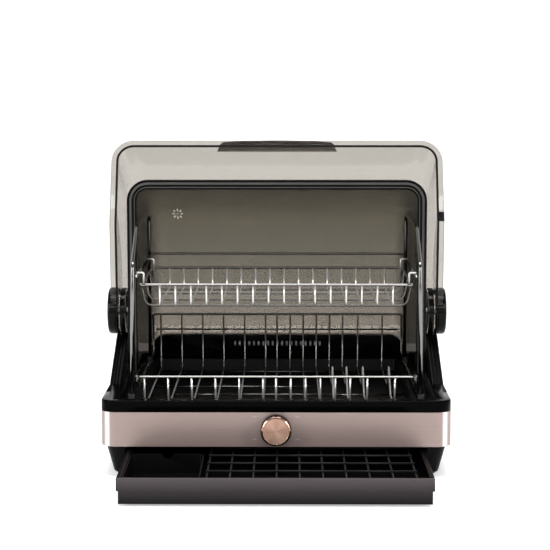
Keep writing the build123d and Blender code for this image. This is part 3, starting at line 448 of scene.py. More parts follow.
cap_radius = (cap_high[0] - cap_low[0]) / 2
BEVEL_WIDE, BEVEL_DEEP = 1.9 * MM, 1.5 * MM
DISH_STEP, DISH_DEEP = 0.4 * MM, 0.25 * MM
disc_face, crest_radius = cap_low[1], cap_radius - BEVEL_WIDE
dish = disc_face + DISH_DEEP
cap_line = fillet_points(
    [(0, dish), (crest_radius - DISH_STEP, dish), (crest_radius, disc_face),
     (cap_radius, disc_face + BEVEL_DEEP), (cap_radius, cap_high[1]), (0, cap_high[1])],
    np.array([0.2, 0.25, 0.3, 0.05]) * MM, 3)
knob_disc = turned("knob_disc", cap_line, knob_centre)
spun, spun_shader = principled("spun_copper", (0.55, 0.33, 0.24), 0.25, 1.0, anisotropic=0.75)
nodes, links = spun.node_tree.nodes, spun.node_tree.links
place = nodes.new("ShaderNodeTexCoord")
centred = nodes.new("ShaderNodeMapping")
centred.vector_type = "TEXTURE"
centred.inputs["Location"].default_value = knob_centre
centred.inputs["Rotation"].default_value = (pi / 2, 0, 0)
angle_of = nodes.new("ShaderNodeTexGradient")
angle_of.gradient_type = "RADIAL"
# Painted highlight and shade: bright and dark fans round the centre stand in for the reflections that a spun face
# shows.
painted_fan_stops = [(0.0, 0.30), (0.10, 0.62), (0.2, 0.36), (0.33, 0.95), (0.46, 0.34), (0.56, 0.40), (0.64, 0.75),
             (0.74, 0.30), (0.86, 0.85), (1.0, 0.30)]
painted_fans = ramp_of(nodes, [(where, (light,) * 3) for where, light in painted_fan_stops], "B_SPLINE")
warm = nodes.new("ShaderNodeMix")
warm.data_type = "RGBA"
warm.inputs["A"].default_value = (0.20, 0.09, 0.06, 1)
warm.inputs["B"].default_value = (0.72, 0.48, 0.37, 1)
links.new(place.outputs["Object"], centred.inputs["Vector"])
links.new(centred.outputs["Vector"], angle_of.inputs["Vector"])
links.new(angle_of.outputs["Fac"], painted_fans.inputs["Fac"])
links.new(painted_fans.outputs["Color"], warm.inputs["Factor"])
links.new(warm.outputs["Result"], spun_shader.inputs["Base Color"])
place_piece(knob_disc, "knob", spun, "spun_copper", "knob_cap")
finish_node("timer_shaft", plate_steel)
finish_node("timer_body", satin_black)

mark_ink = grained("mark_ink", (0.62, 0.55, 0.53), 0.5)
DOT_RADIUS, DOT_POINTS = 0.63 * MM, 16
DOT_SUNK, DOT_PROUD = 0.02 * MM, 0.08 * MM
MARK_PLACES = ((-27.5, 15.5), (27.5, 15.5), (-27.5, -13.5), (27.5, -13.5))  # across and above the knob's centre
DOT_STEP = 1.5
mark_dots, mark_faces = [], []
around = np.linspace(0, 2 * pi, DOT_POINTS, endpoint=False)
ring = np.stack([np.cos(around), np.zeros(DOT_POINTS), np.sin(around)], -1) * DOT_RADIUS
dot_rings = np.concatenate([ring + [0, DOT_SUNK, 0], ring - [0, DOT_PROUD, 0]])
for side_x, rise in MARK_PLACES:
    for step in (-DOT_STEP, DOT_STEP):
        first = len(mark_dots) * 2 * DOT_POINTS
        half_way, last = first + DOT_POINTS, first + 2 * DOT_POINTS
        mark_dots.append(np.array([(side_x + step) * MM, band_low[1], knob_centre[2] + rise * MM]) + dot_rings)
        mark_faces += [[first + k for k in quad] for quad in grid_quads(2, DOT_POINTS, round_cols=True)]
        mark_faces += [list(range(first, half_way)), list(range(half_way, last))]
marks = new_object("band_marks", np.concatenate(mark_dots), mark_faces)
place_piece(marks, "cabinet", mark_ink, "brushed_taupe")

# ---- Air path: outlet panel, blower, heater and lamp ----
# The raised black panel behind the rack hides the lamp and lets warm air through a row of slots.
# The blower, the finned heater and its cutout are screwed down under it, inside the housing.
softened("air_duct", "outlet_panel", 0.5 * MM, "cabinet", deck_black)
bare_metal = grained("bare_metal", (0.75, 0.75, 0.76), 0.38, 0.1, 0.05, 500.0, metallic=1.0)
lamp_glass = principled("lamp_glass", (0.85, 0.87, 0.95), 0.08, transmission_weight=0.7)[0]
for part in ("blower_housing", "blower_impeller", "lamp_holders"):
    finish_node(part, satin_black)
for part in ("blower_motor", "thermal_cutout"):
    finish_node(part, plate_steel)
finish_node("heater_block", bare_metal)
finish_node("uv_lamp", lamp_glass)

# ---- Side posts, hub collars, pins and hub caps ----
# Satin black posts screwed to the rim carry the steel hinge pins, each with a glossy collar round it.
# A glossy domed cap is pressed on each pin outside the lid's ear, with a fine groove round its wall.
CAP_DEEP = 15.5 * MM
CAP_GROOVE, GROOVE_HALF = 2.6 * MM, 0.8 * MM
DOME_SHARE = 0.55  # the part of the cap's radius that is nearly flat
DOME_DROPS = np.array([0.35, 1.9, 5.5]) * MM
COLLAR_WIDE = 5 * MM
hub = np.array(frame["record"]["behaviour"]["joints"][0]["pos_m"])
for side in ("left", "right"):
    softened(f"side_post_{side}", f"post_moulding_{side}", 0.35 * MM, "cabinet", satin_black)
    finish_node(f"hinge_pin_{side}", plate_steel)
    sign = -1 if side == "left" else 1
    ring_low, ring_high = (np.array(corner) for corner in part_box(f"hub_collar_{side}"))
    ring_radius = (ring_high[2] - ring_low[2]) / 2
    collar_line = fillet_points(
        [(ring_radius - COLLAR_WIDE, ring_low[0]), (ring_radius, ring_low[0]), (ring_radius, ring_high[0]),
         (ring_radius - COLLAR_WIDE, ring_high[0])], 1.0 * MM)
    collar = turned(f"collar_ring_{side}", np.r_[collar_line, collar_line[:1]], hub, "x")
    place_piece(collar, "cabinet", gloss_black, "gloss_black", f"hub_collar_{side}")
    cap_low, cap_high = (np.array(corner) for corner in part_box(f"hub_cap_{side}"))
    cap_radius = (cap_high[2] - cap_low[2]) / 2
    inner = cap_high[0] if side == "left" else cap_low[0]
    outer = inner + sign * CAP_DEEP
    groove = inner + sign * CAP_GROOVE
    flat, brow, shoulder = outer - sign * DOME_DROPS
    cap_line = fillet_points(
        [(0, outer), (cap_radius * DOME_SHARE, flat), (cap_radius - 1.2 * MM, brow), (cap_radius, shoulder),
         (cap_radius, groove + sign * GROOVE_HALF), (cap_radius - GROOVE_HALF, groove),
         (cap_radius, groove - sign * GROOVE_HALF), (cap_radius, inner), (0, inner)],
        np.array([20, 3.0, 3.0, 0.3, 0.3, 0.3, 0.6]) * MM, 5)
    cap = turned(f"cap_dome_{side}", cap_line, hub, "x")
    place_piece(cap, "lid", gloss_black, "gloss_black", f"hub_cap_{side}")

# ---- Rear shell ----
# Smoked clear half drum moulded in one piece: a curved back with rounded ends and flat side walls.
# A small pierced rosette lets steam out at its upper left.
SHELL_CORNER = 25 * MM
SHELL_WALL = 2.5 * MM
SHELL_FLOOR = 0.100
shell_low, shell_high = (np.array(corner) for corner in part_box("rear_shell"))
SHELL_TUCK = 2 * MM  # the shell and its frame are drawn this much narrower on each side
shell_half = shell_high[0] - SHELL_TUCK
shell_radius = shell_high[1] - hub[1]
shell_front = hub[1] - shell_low[1]


def side_view(x, ahead, rise):
    """Points from the side view: ahead of the hub axis and above it."""
    x, ahead, rise = np.broadcast_arrays(x, ahead, rise)
    return np.stack([x, hub[1] - ahead, hub[2] + rise], -1)


def along_line(corners, share):
    """Points at equal shares of a broken line's length."""
    corners = np.asarray(corners, float)
    length = np.r_[0, np.cumsum(np.linalg.norm(np.diff(corners, axis=0), axis=1))]
    return np.stack([np.interp(share * length[-1], length, corners[:, k]) for k in (0, 1)], -1)


def walled(inner, edge, half, corner, bulge, wall_steps=8):
    """Half of a hood, from the middle to the foot of its side wall.
    Columns run over the crown, round the corner (bulge gives each angle's place in the side view),
    then straight down the side wall from the inset line to the edge line."""
    bend = np.linspace(0, pi / 2, 9)
    crown = [side_view(x, *bulge(0.0)) for x in np.linspace(0, half - corner, 6)[:-1]]
    corner_cols = [side_view(half - corner + corner * np.sin(a), *bulge(a)) for a in bend]
    steps = np.linspace(0, 1, wall_steps + 1)[1:]
    wall_cols = [side_view(half, *(inner + (edge - inner) * s).T) for s in steps]
    return np.stack(crown + corner_cols + wall_cols, 1)


def both_halves(half_grid):
    """A whole hood from its right half: the mirror image, then the half itself."""
    return np.concatenate([half_grid[:, :0:-1] * [-1, 1, 1], half_grid], 1)


share = np.linspace(0, 1, 49)
floor_rise = SHELL_FLOOR - hub[2]


def shell_bulge(angle):
    """The drum's side view at a corner angle: an arc from the front edge to the floor."""
    radius = shell_radius - SHELL_CORNER + SHELL_CORNER * cos(angle)
    first, last = acos(shell_front / radius), pi + asin(-floor_rise / radius)
    turn = first + (last - first) * share
    return radius * np.cos(turn), radius * np.sin(turn)


shell_inset = np.stack(shell_bulge(pi / 2), -1)
shell_edge = along_line([shell_inset[0], (shell_front, floor_rise), shell_inset[-1]], share)
shell_grid = both_halves(walled(shell_inset, shell_edge, shell_half, SHELL_CORNER, shell_bulge))
shell = new_object("shell_drum", shell_grid, grid_quads(*shell_grid.shape[:2]))


def settled(made):
    """Applies a piece's modifiers, then shades every edge that turns by more than 35 degrees as a crisp one."""
    done = bpy.data.meshes.new_from_object(made.evaluated_get(bpy.context.evaluated_depsgraph_get()))
    made.modifiers.clear()
    work = bmesh.new()
    work.from_mesh(done)
    for edge in work.edges:
        edge.smooth = edge.calc_face_angle(0.0) < radians(35)
    work.to_mesh(done)
    work.free()
    made.data = done


def walls_inward(made, thickness):
    """Gives a sheet its wall, grown inwards."""
    wall = made.modifiers.new("wall", "SOLIDIFY")
    wall.thickness = thickness
    wall.offset = -1.0
    settled(made)


def pierced(made, cutter):
    """Cuts a closed shape out of a piece."""
    cut = made.modifiers.new("pierced", "BOOLEAN")
    cut.object = cutter
    cut.solver = "EXACT"
    settled(made)
    bpy.data.objects.remove(cutter)


walls_inward(shell, SHELL_WALL)
ROSETTE_PLACE = np.array([-146.0, 124.5]) * MM  # across, and above the hub axis
ROSETTE_IN, ROSETTE_OUT, PETALS = 3.0 * MM, 8.8 * MM, 8
PETAL_HALF, PETAL_WIDEST = 0.95 * MM, 0.75 * ROSETTE_OUT
EYE_RADIUS = 0.9 * MM
CUT_FROM, CUT_TO = 90 * MM, 190 * MM  # the cutter's ends behind the hub axis, either side of the wall
petal_turn = np.arange(PETALS) * 2 * pi / PETALS
petal_line = np.array([(ROSETTE_IN, 0), (PETAL_WIDEST, -PETAL_HALF), (ROSETTE_OUT, 0), (PETAL_WIDEST, PETAL_HALF)])
petal_out, petal_side = petal_line[None, :, 0], petal_line[None, :, 1]
petal_cos, petal_sin = np.cos(petal_turn)[:, None], np.sin(petal_turn)[:, None]
petal_xz = np.stack([
    petal_out * petal_cos - petal_side * petal_sin, petal_out * petal_sin + petal_side * petal_cos], -1)
eye_turn = np.linspace(0, 2 * pi, 12, endpoint=False)
eye_xz = np.stack([np.cos(eye_turn), np.sin(eye_turn)], -1) * EYE_RADIUS
cut_points, cut_faces, first = [], [], 0
for outline in (*petal_xz, eye_xz):
    count = len(outline)
    cut_x, cut_z = outline[:, 0] + ROSETTE_PLACE[0], outline[:, 1] + hub[2] + ROSETTE_PLACE[1]
    for y in (hub[1] + CUT_FROM, hub[1] + CUT_TO):
        cut_points.append(np.stack([cut_x, np.full(count, y), cut_z], -1))
    cut_faces += [[first + int(k) for k in quad] for quad in grid_quads(2, count, round_cols=True)]
    cut_faces += [list(range(first, first + count)), list(range(first + count, first + 2 * count))]
    first += 2 * count
pierced(shell, new_object("rosette_cutter", np.concatenate(cut_points), cut_faces))


def graded(material, axis, stops, edge=None):
    """Grades a material's colour along an axis of the object: (place, colour) stops, joined by straight ramps.
    edge is (axis, start, end, colour): away from the middle on that axis the colour goes over to another."""
    nodes, links = material.node_tree.nodes, material.node_tree.links
    shader = nodes["Principled BSDF"]
    place = nodes.new("ShaderNodeTexCoord")
    parts = nodes.new("ShaderNodeSeparateXYZ")
    share_of = nodes.new("ShaderNodeMapRange")
    share_of.inputs["From Min"].default_value = stops[0][0]
    share_of.inputs["From Max"].default_value = stops[-1][0]
    start, span = stops[0][0], stops[-1][0] - stops[0][0]
    ramp = ramp_of(nodes, [((where - start) / span, colour) for where, colour in stops])
    links.new(place.outputs["Object"], parts.inputs["Vector"])
    links.new(parts.outputs[axis], share_of.inputs["Value"])
    links.new(share_of.outputs["Result"], ramp.inputs["Fac"])
    colour_out = ramp.outputs["Color"]
    if edge:
        edge_axis, edge_start, edge_end, edge_colour = edge
        far = nodes.new("ShaderNodeMath")
        far.operation = "ABSOLUTE"
        near = nodes.new("ShaderNodeMapRange")
        near.inputs["From Min"].default_value = edge_start
        near.inputs["From Max"].default_value = edge_end
        tint = nodes.new("ShaderNodeMix")
        tint.data_type = "RGBA"
        tint.inputs["B"].default_value = (*edge_colour, 1)
        links.new(parts.outputs[edge_axis], far.inputs[0])
        links.new(far.outputs[0], near.inputs["Value"])
        links.new(near.outputs["Result"], tint.inputs["Factor"])
        links.new(colour_out, tint.inputs["A"])
        colour_out = tint.outputs["Result"]
    links.new(colour_out, shader.inputs["Base Color"])


# Painted shade: the shell's smoke is toned darker up to the crown and out to the side walls, to match its reflections.
smoked_deep = principled(
    "smoked_deep", (0.40, 0.38, 0.35), 0.04, transmission_weight=1.0, ior=1.2, specular_ior_level=0.12)[0]
shell_painted_shade_tones = [(0.17, (0.36, 0.335, 0.305)), (0.26, (0.245, 0.235, 0.205)), (0.30, (0.215, 0.20, 0.165)),
               (0.35, (0.09, 0.083, 0.068))]
graded(smoked_deep, "Z", shell_painted_shade_tones, edge=("X", 0.174, 0.194, (0.06, 0.057, 0.051)))
place_piece(shell, "cabinet", smoked_deep, "smoked_clear", "rear_shell")

# ---- Frame round the rear shell's mouth ----
# Dark smoked moulding pressed over the shell's front edge, from foot to foot round its mouth.
# Three glossy black ribs run round its face.
rim_low, rim_high = (np.array(corner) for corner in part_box("rear_shell_rim"))
RIM_LIFT = 1.7 * MM  # the frame's top is drawn this much higher
RIM_CORNER = 29 * MM
rim_half, rim_top = rim_high[0] - SHELL_TUCK, rim_high[2] + RIM_LIFT
left_down = [(rim_half, SHELL_FLOOR), (rim_half, rim_top), (0, rim_top)]
right_half = fillet_points(left_down, RIM_CORNER, 14)
rim_line = np.concatenate([right_half, right_half[-2::-1] * [-1, 1]])
spine = np.stack([rim_line[:, 0], np.full(len(rim_line), rim_high[1]), rim_line[:, 1]], -1)
tangent = np.gradient(spine, axis=0)
tangent[0], tangent[-1] = (0, 0, 1), (0, 0, -1)
tangent /= np.linalg.norm(tangent, axis=1, keepdims=True)
outward = np.cross(tangent, (0, 1, 0))
outward *= np.sign((outward * (spine - spine.mean(0))).sum(1))[:, None]
depth = rim_high[1] - rim_low[1]
RIM_WIDE, RIM_INSET, RIM_SUNK, RIB_SUNK = 13.4 * MM, 0.4 * MM, 1.2 * MM, 0.3 * MM
RIBS = ((0.0, 3.4), (6.6, 9.6), (11.0, 13.4))  # from the outside in, in millimetres


def rim_band(name, out_in, depths):
    """A band that follows the mouth: its place inwards from the outer line, and its place out of the wall."""
    (start, end), (low, high) = out_in, depths
    profile = np.array([(start, low), (start, high), (end, high), (end, low)])
    rings = spine[:, None] - profile[None, :, :1] * outward[:, None] - profile[None, :, 1:] * np.array([0, 1, 0])
    return closed_sweep(name, rings)


smoked_rim = principled("smoked_rim", (0.15, 0.142, 0.13), 0.12, transmission_weight=0.5, ior=1.35)[0]
rim = rim_band("shell_rim", (RIM_INSET, RIM_WIDE - RIM_INSET), (0, depth - RIM_SUNK))
place_piece(eased(rim, 0.3 * MM), "cabinet", smoked_rim, "gloss_black", "rear_shell_rim")
for count, (start, end) in enumerate(RIBS):
    rib = rim_band(f"shell_rim_rib_{count + 1}", (start * MM, end * MM), (RIB_SUNK, depth))
    place_piece(eased(rib, 0.4 * MM), "cabinet", gloss_black, "gloss_black")

# ---- Lid ----
# Smoked clear hood moulded in one piece, drawn closed here and then swung back to where it rests.
# Its front wall leans back a little, and a round ear closes each side wall over its hub.
LID_WALL = 1.4 * MM  # drawn thinner than the frame's 3 mm wall, whose cut edge shows as a thick dark line
LID_CORNER = 22 * MM
LID_LEAN = radians(3)
LID_CURVE = 145 * MM
LID_TOP = 188 * MM
LID_FRONT = 212.5 * MM
LID_TRAIL = -3 * MM
LID_HALF = 220 * MM
LID_KINK = 100 * MM  # ahead of the hub axis: where the lower edge turns up to the ear
EAR_RADIUS = 30 * MM
EAR_FACES = 3.4 * MM, 1.6 * MM  # in from the side wall's outer face
EDGE_RISE = -84.5 * MM
EDGE_CROWDING = 0.8  # under 1: the points of the lower edge crowd towards the ear
smoked = principled(
    "smoked_clear", (0.485, 0.46, 0.42), 0.03, transmission_weight=1.0, ior=1.3, specular_ior_level=0.5)[0]
lid_joint = frame["record"]["behaviour"]["joints"][0]
swing = -radians(lid_joint["range_deg"][1])


def opened(points):
    """Closed-lid points swung about the hub axis to the open position."""
    points = np.asarray(points, float)
    y, z = points[..., 1] - hub[1], points[..., 2] - hub[2]
    back, up = y * cos(swing) - z * sin(swing), y * sin(swing) + z * cos(swing)
    return np.stack([points[..., 0], hub[1] + back, hub[2] + up], -1)


crown_rise = LID_TOP - LID_CURVE
crown_ahead = LID_FRONT - (LID_CURVE + (crown_rise - EDGE_RISE) * sin(LID_LEAN)) / cos(LID_LEAN)
wall_share, arc_share, top_share = np.linspace(0, 1, 9)[:-1], np.linspace(0, 1, 25)[:-1], np.linspace(0, 1, 7)


def lid_bulge(angle):
    """The hood's side view at a corner angle: up the leaning front wall, round the crown, then level to the back."""
    inset = LID_CORNER * (1 - cos(angle))
    radius = LID_CURVE - inset
    turn = LID_LEAN + (pi / 2 - LID_LEAN) * arc_share
    shoulder = (crown_ahead + radius * cos(LID_LEAN), crown_rise + radius * sin(LID_LEAN))
    foot_ahead = shoulder[0] + (shoulder[1] - EDGE_RISE) * tan(LID_LEAN)
    ahead = [foot_ahead + (shoulder[0] - foot_ahead) * wall_share, crown_ahead + radius * np.cos(turn),
             crown_ahead + (LID_TRAIL - crown_ahead) * top_share]
    rise = [EDGE_RISE + (shoulder[1] - EDGE_RISE) * wall_share, crown_rise + radius * np.sin(turn),
            np.full(7, crown_rise + radius)]
    return np.concatenate(ahead), np.concatenate(rise)


ear_turn = atan2(EDGE_RISE, LID_KINK) - acos(EAR_RADIUS / (LID_KINK**2 + EDGE_RISE**2) ** 0.5)
ear_touch = np.array([cos(ear_turn), sin(ear_turn)]) * EAR_RADIUS
ear_foot = (EAR_RADIUS**2 - LID_TRAIL**2) ** 0.5
ear_round = np.linspace(ear_turn, -pi / 2, 10)
ear_line = np.stack([np.cos(ear_round), np.sin(ear_round)], -1) * EAR_RADIUS
lid_inset = np.stack(lid_bulge(pi / 2), -1)
lid_share = np.linspace(0, 1, len(lid_inset))
lid_edge = along_line(
    [lid_inset[0], (LID_KINK, EDGE_RISE), ear_touch, *ear_line, (LID_TRAIL, -ear_foot)], lid_share**EDGE_CROWDING)
lid_grid = opened(both_halves(walled(lid_inset, lid_edge, LID_HALF, LID_CORNER, lid_bulge, 12)))
hood = new_object("lid_hood", lid_grid, grid_quads(*lid_grid.shape[:2]))
walls_inward(hood, LID_WALL)
place_piece(hood, "lid", smoked, "smoked_clear", "lid_shell")
for side, sign in (("left", -1), ("right", 1)):
    ear_in, ear_out = (sign * (LID_HALF - inset) for inset in EAR_FACES)
    ear_profile = fillet_points([(0, ear_in), (EAR_RADIUS, ear_in), (EAR_RADIUS, ear_out), (0, ear_out)], 0.5 * MM)
    ear_disc = turned(f"lid_ear_{side}", ear_profile, hub, "x")
    place_piece(ear_disc, "lid", smoked, "smoked_clear")

# ---- Lid flange and seal ----
# The flange is moulded in one with the hood and turns outwards round its lower edge, from ear to ear.
# A thin black rubber seal is pressed under it along the wall's line.
FLANGE_WIDE = 8.5 * MM
FLANGE_THICK = 3 * MM
SEAL_HALF, SEAL_LOW, SEAL_HIGH = 1.5 * MM, -1.2 * MM, 0.4 * MM
CAP_CLEAR = 33 * MM
slope = ear_touch - np.array([LID_KINK, EDGE_RISE])
slope_long = np.linalg.norm(slope)
flange_end = ear_touch - slope / slope_long * (CAP_CLEAR**2 - EAR_RADIUS**2) ** 0.5
slope_up = -ear_touch / EAR_RADIUS
kink_up = np.array([slope_up[0] / (1 + slope_up[1]), 1.0])


def edge_run(grow):
    """Half the lid's lower edge from the front's middle to the ear: plan points, outward and upward directions."""
    corner = LID_CORNER + grow
    quarter = np.linspace(0, pi / 2, 13)
    front = LID_FRONT + grow
    plan_x = np.r_[0, LID_HALF + grow - corner + corner * np.sin(quarter), np.full(2, LID_HALF + grow)]
    ahead = np.r_[front, front - corner + corner * np.cos(quarter), LID_KINK, flange_end[0]]
    rise = np.r_[np.full(15, EDGE_RISE), flange_end[1]]
    up = np.r_[np.tile([0.0, 1.0], (14, 1)), [kink_up], [slope_up]]
    return plan_x, ahead, rise, up


def edge_strip(name, inner, outer, low, high):
    """A strip round the lid's lower edge, from inner to outer of the wall face and from low to high of the edge."""
    rings = []
    for grow, lift in ((inner, low), (outer, low), (outer, high), (inner, high)):
        plan_x, ahead, rise, up = edge_run(grow)
        points = side_view(plan_x, ahead + up[:, 0] * lift, rise + up[:, 1] * lift)
        rings.append(np.concatenate([points[:0:-1] * [-1, 1, 1], points]))
    return closed_sweep(name, opened(np.stack(rings, 1)))


flange = eased(edge_strip("lid_flange", 0.02 * MM, FLANGE_WIDE, 0, FLANGE_THICK), 1.0 * MM, 3, 50)
place_piece(flange, "lid", smoked, "smoked_clear")
seal_black = grained("seal_black", (0.004, 0.004, 0.004), 0.6, 0.08, 0.1, 1500.0, specular_ior_level=0.1)
seal = eased(edge_strip("lid_edge_seal", -SEAL_HALF, SEAL_HALF, SEAL_LOW, SEAL_HIGH), 0.3 * MM, 2, 50)
place_piece(seal, "lid", seal_black, "soft_rubber", "lid_seal")

# ---- Lid handle and switch tab ----
# The grip is a darker smoked moulding welded to the front wall.
# The small satin black tab on the right flange works the lid's switch.
FRAME_LID_FRONT = 206 * MM  # the front wall's place in the loaded frame, which the grip was made for
smoked_dark = principled(
    "smoked_dark", (0.26, 0.24, 0.225), 0.08, transmission_weight=0.75, ior=1.4)[0]
lid_grip = softened("lid_handle", "lid_grip", 0.6 * MM, "lid", smoked_dark)
grip_out = LID_FRONT - FRAME_LID_FRONT
lid_grip.data.transform(Matrix.Translation((0, -grip_out * cos(swing), -grip_out * sin(swing))))
softened("switch_tab", "switch_nub", 0.4 * MM, "lid", satin_black)

# ---- Rack wire, chromed ----
# Plated steel wire, bent cold and welded where it crosses: the thickest makes the side frames, thinner wire the
# baskets' rims, and the thinnest their bars. Painted shade: the plating's colour is toned darker to the rear, and the
# rails and rims, frames and cross wires are given darker copies of it, to match what it mirrors in the photograph.
chrome = grained("chrome_wire", (0.83, 0.82, 0.80), 0.1, 0.05, 0.03, 700.0, metallic=0.7)
# Painted shade: the plating is graded darker towards the rear, and its copies below for the rails and rims, the frames
# and the cross wires are darker still.
graded(chrome, "Y", [(0.06, (0.66, 0.65, 0.63)), (0.07, (0.62, 0.61, 0.59)), (0.13, (0.17, 0.165, 0.155))])
rail_chrome = grained("rail_chrome", (0.5, 0.5, 0.48), 0.1, 0.05, 0.03, 700.0, metallic=1.0)
graded(rail_chrome, "Y", [(-0.12, (0.27, 0.265, 0.255)), (0.0, (0.08, 0.077, 0.072))])
frame_chrome = grained("frame_chrome", (0.5, 0.5, 0.48), 0.12, 0.05, 0.03, 700.0, metallic=1.0)
graded(frame_chrome, "Y", [(-0.13, (0.20, 0.195, 0.185)), (0.08, (0.10, 0.096, 0.09))])
cross_chrome = grained("cross_chrome", (0.10, 0.098, 0.092), 0.16, 0.05, 0.03, 700.0, metallic=1.0)


def at(x, ahead, z):
    """A point across the rack, ahead of the hub axis and above the worktop, from millimetres."""
    return (x * MM, hub[1] - ahead * MM, z * MM)


def tube(path, radius, square, sides=12, loop=False):
    """A round wire along a flat path: ring = path + r (cos a * square + sin a * (tangent x square)).
    square is the direction square to the path's plane."""
    path = np.asarray(path, float)
    if loop:
        tangent = np.roll(path, -1, 0) - np.roll(path, 1, 0)
    else:
        tangent = np.gradient(path, axis=0)
    tangent /= np.linalg.norm(tangent, axis=1, keepdims=True)
    square = np.asarray(square, float)
    side = np.cross(tangent, square)
    around = np.linspace(0, 2 * pi, sides, endpoint=False)
    ring = np.cos(around)[None, :, None] * square + np.sin(around)[None, :, None] * side[:, None]
    points = path[:, None] + radius * ring
    faces = [list(quad) for quad in grid_quads(len(path), sides, round_rows=loop, round_cols=True)]
    if not loop:
        faces += [list(range(sides)), list(range((len(path) - 1) * sides, len(path) * sides))]
    return points.reshape(-1, 3), faces


def wire_piece(name, runs, body, *stood_for, metal=None):
    """Joins several wires in one piece, chromed unless another metal is given."""
    points, faces, first = [], [], 0
    for run_points, run_faces in runs:
        points.append(run_points)
        faces += [[first + int(k) for k in face] for face in run_faces]
        first += len(run_points)
    made = new_object(name, np.concatenate(points), faces)
    return place_piece(made, body, metal or chrome, "chrome_wire", *stood_for)


ACROSS, DEEP, UP = (1, 0, 0), (0, 1, 0), (0, 0, 1)
FRAME_X = 187.0
FRAME_WIRE, RIM_WIRE, BAR_WIRE = 5.5, 3.5, 2.5
RAIL_X = FRAME_X - (FRAME_WIRE + RIM_WIRE) / 2 - 0.05
FOOT_Z = 94.5
FRAME_LINE = ((172, FOOT_Z), (152, 266.5), (86, 309), (40, 312.5), (-115, 312.5), (-115, FOOT_Z))
FRAME_BEND = 14 * MM
for side, x in (("left", -FRAME_X), ("right", FRAME_X)):
    path = fillet_points([at(x, ahead, z) for ahead, z in FRAME_LINE], FRAME_BEND, 8)
    frame_run = tube(path, FRAME_WIRE / 2 * MM, ACROSS, 16)
    wire_piece(f"frame_wire_{side}", [frame_run], "cabinet", f"rack_frame_{side}", metal=frame_chrome)

# ---- Upper support rail ----
# One chromed wire bent to a U and welded inside the side frames.
# The upper basket's hooks hang on its two arms.
RAIL_Z, RAIL_FRONT, RAIL_REAR = 252.0, 154, -128


def rim_u(front, rear, z, bend, steps=5):
    """A flat U of rim wire at one height: from one arm's end to the closed side and back along the other arm."""
    plan = ((-RAIL_X, front), (-RAIL_X, rear), (RAIL_X, rear), (RAIL_X, front))
    return tube(fillet_points([at(x, ahead, z) for x, ahead in plan], bend, steps), RIM_WIRE / 2 * MM, UP)


rail = rim_u(RAIL_FRONT, RAIL_REAR, RAIL_Z, 12 * MM, 8)
wire_piece("support_wire", [rail], "cabinet", "support_rail", metal=rail_chrome)

# ---- Lower basket ----
# Chromed wire basket, welded to the side frames: plates stand between its fourteen bars.
# Its slots are wide at the left, and narrow at the right, where the bars rise into a divider.
LOWER_RIM_Z, LOWER_REAR_Z, LOWER_FLOOR_Z = 121.5, 161.0, 80.0
LOWER_FRONT, LOWER_REAR = 160.0, -136.0
HUMP_Z, HUMP_AHEAD = 110.0, 27.0
HUMPS_FROM = 70  # bars further right than this rise into the divider
FRONT_ARM, REAR_ARM = 120, -95
front_rim = rim_u(FRONT_ARM, LOWER_FRONT, LOWER_RIM_Z, 5 * MM)
rear_rim = rim_u(REAR_ARM, LOWER_REAR, LOWER_REAR_Z, 8 * MM)
wire_piece("lower_rim_wires", [front_rim, rear_rim], "cabinet", "lower_basket_rim", metal=rail_chrome)


def lower_bar(x):
    """One bar of the lower basket: its side view's corners (ahead, height), each rounded by its own bend."""
    line = [(LOWER_FRONT, LOWER_RIM_Z), (LOWER_FRONT - 8, LOWER_FLOOR_Z + 12)]
    bends = [8]
    if x > HUMPS_FROM:
        line += [(LOWER_FRONT - 30, LOWER_FLOOR_Z), (HUMP_AHEAD + 45, LOWER_FLOOR_Z), (HUMP_AHEAD, HUMP_Z + 3),
                 (HUMP_AHEAD - 36, LOWER_FLOOR_Z)]
        bends += [14, 10, 8, 10]
    else:
        line += [(LOWER_FRONT - 18, LOWER_FLOOR_Z)]
        bends += [8]
    line += [(LOWER_REAR, LOWER_FLOOR_Z), (LOWER_REAR, LOWER_REAR_Z)]
    bends += [5]
    path = fillet_points([at(x, ahead, z) for ahead, z in line], np.array(bends) * MM)
    return tube(path, BAR_WIRE / 2 * MM, ACROSS)


PLATE_PITCH, SAUCER_PITCH = 31, 19.4
lower_places = [-172.5 + PLATE_PITCH * i for i in range(6)] + [-0.5 + SAUCER_PITCH * i for i in range(6)] + [119, 155]
wire_piece("lower_bar_wires", [lower_bar(x) for x in lower_places], "cabinet", "lower_basket_bars")
cross_z = LOWER_FLOOR_Z - BAR_WIRE
# Straight wires under and behind the bars: ahead, height, left end and right end of each.
CROSS_LINES = ((-122, cross_z, -174, 174), (-3, cross_z, -174, 52), (54, cross_z, -174, 174),
               (118, cross_z, -174, 174), (LOWER_REAR - BAR_WIRE, 138, -180, 180))
cross = [tube(np.linspace(at(left, ahead, z), at(right, ahead, z), 3), BAR_WIRE / 2 * MM, UP)
         for ahead, z, left, right in CROSS_LINES]
wire_piece("lower_cross", cross, "cabinet", "lower_cross_wires", metal=cross_chrome)
SIDE_Z, SIDE_WIRE = 104.0, 3.0
SIDE_LINE = ((148, LOWER_RIM_Z), (138, SIDE_Z), (LOWER_REAR + 18, SIDE_Z), (LOWER_REAR + 12, LOWER_REAR_Z))
side_runs = [tube(fillet_points([at(x, ahead, z) for ahead, z in SIDE_LINE], 6 * MM), SIDE_WIRE / 2 * MM, ACROSS)
             for x in (-RAIL_X, RAIL_X)]
wire_piece("lower_end_wires", side_runs, "cabinet", "lower_side_wires", metal=frame_chrome)

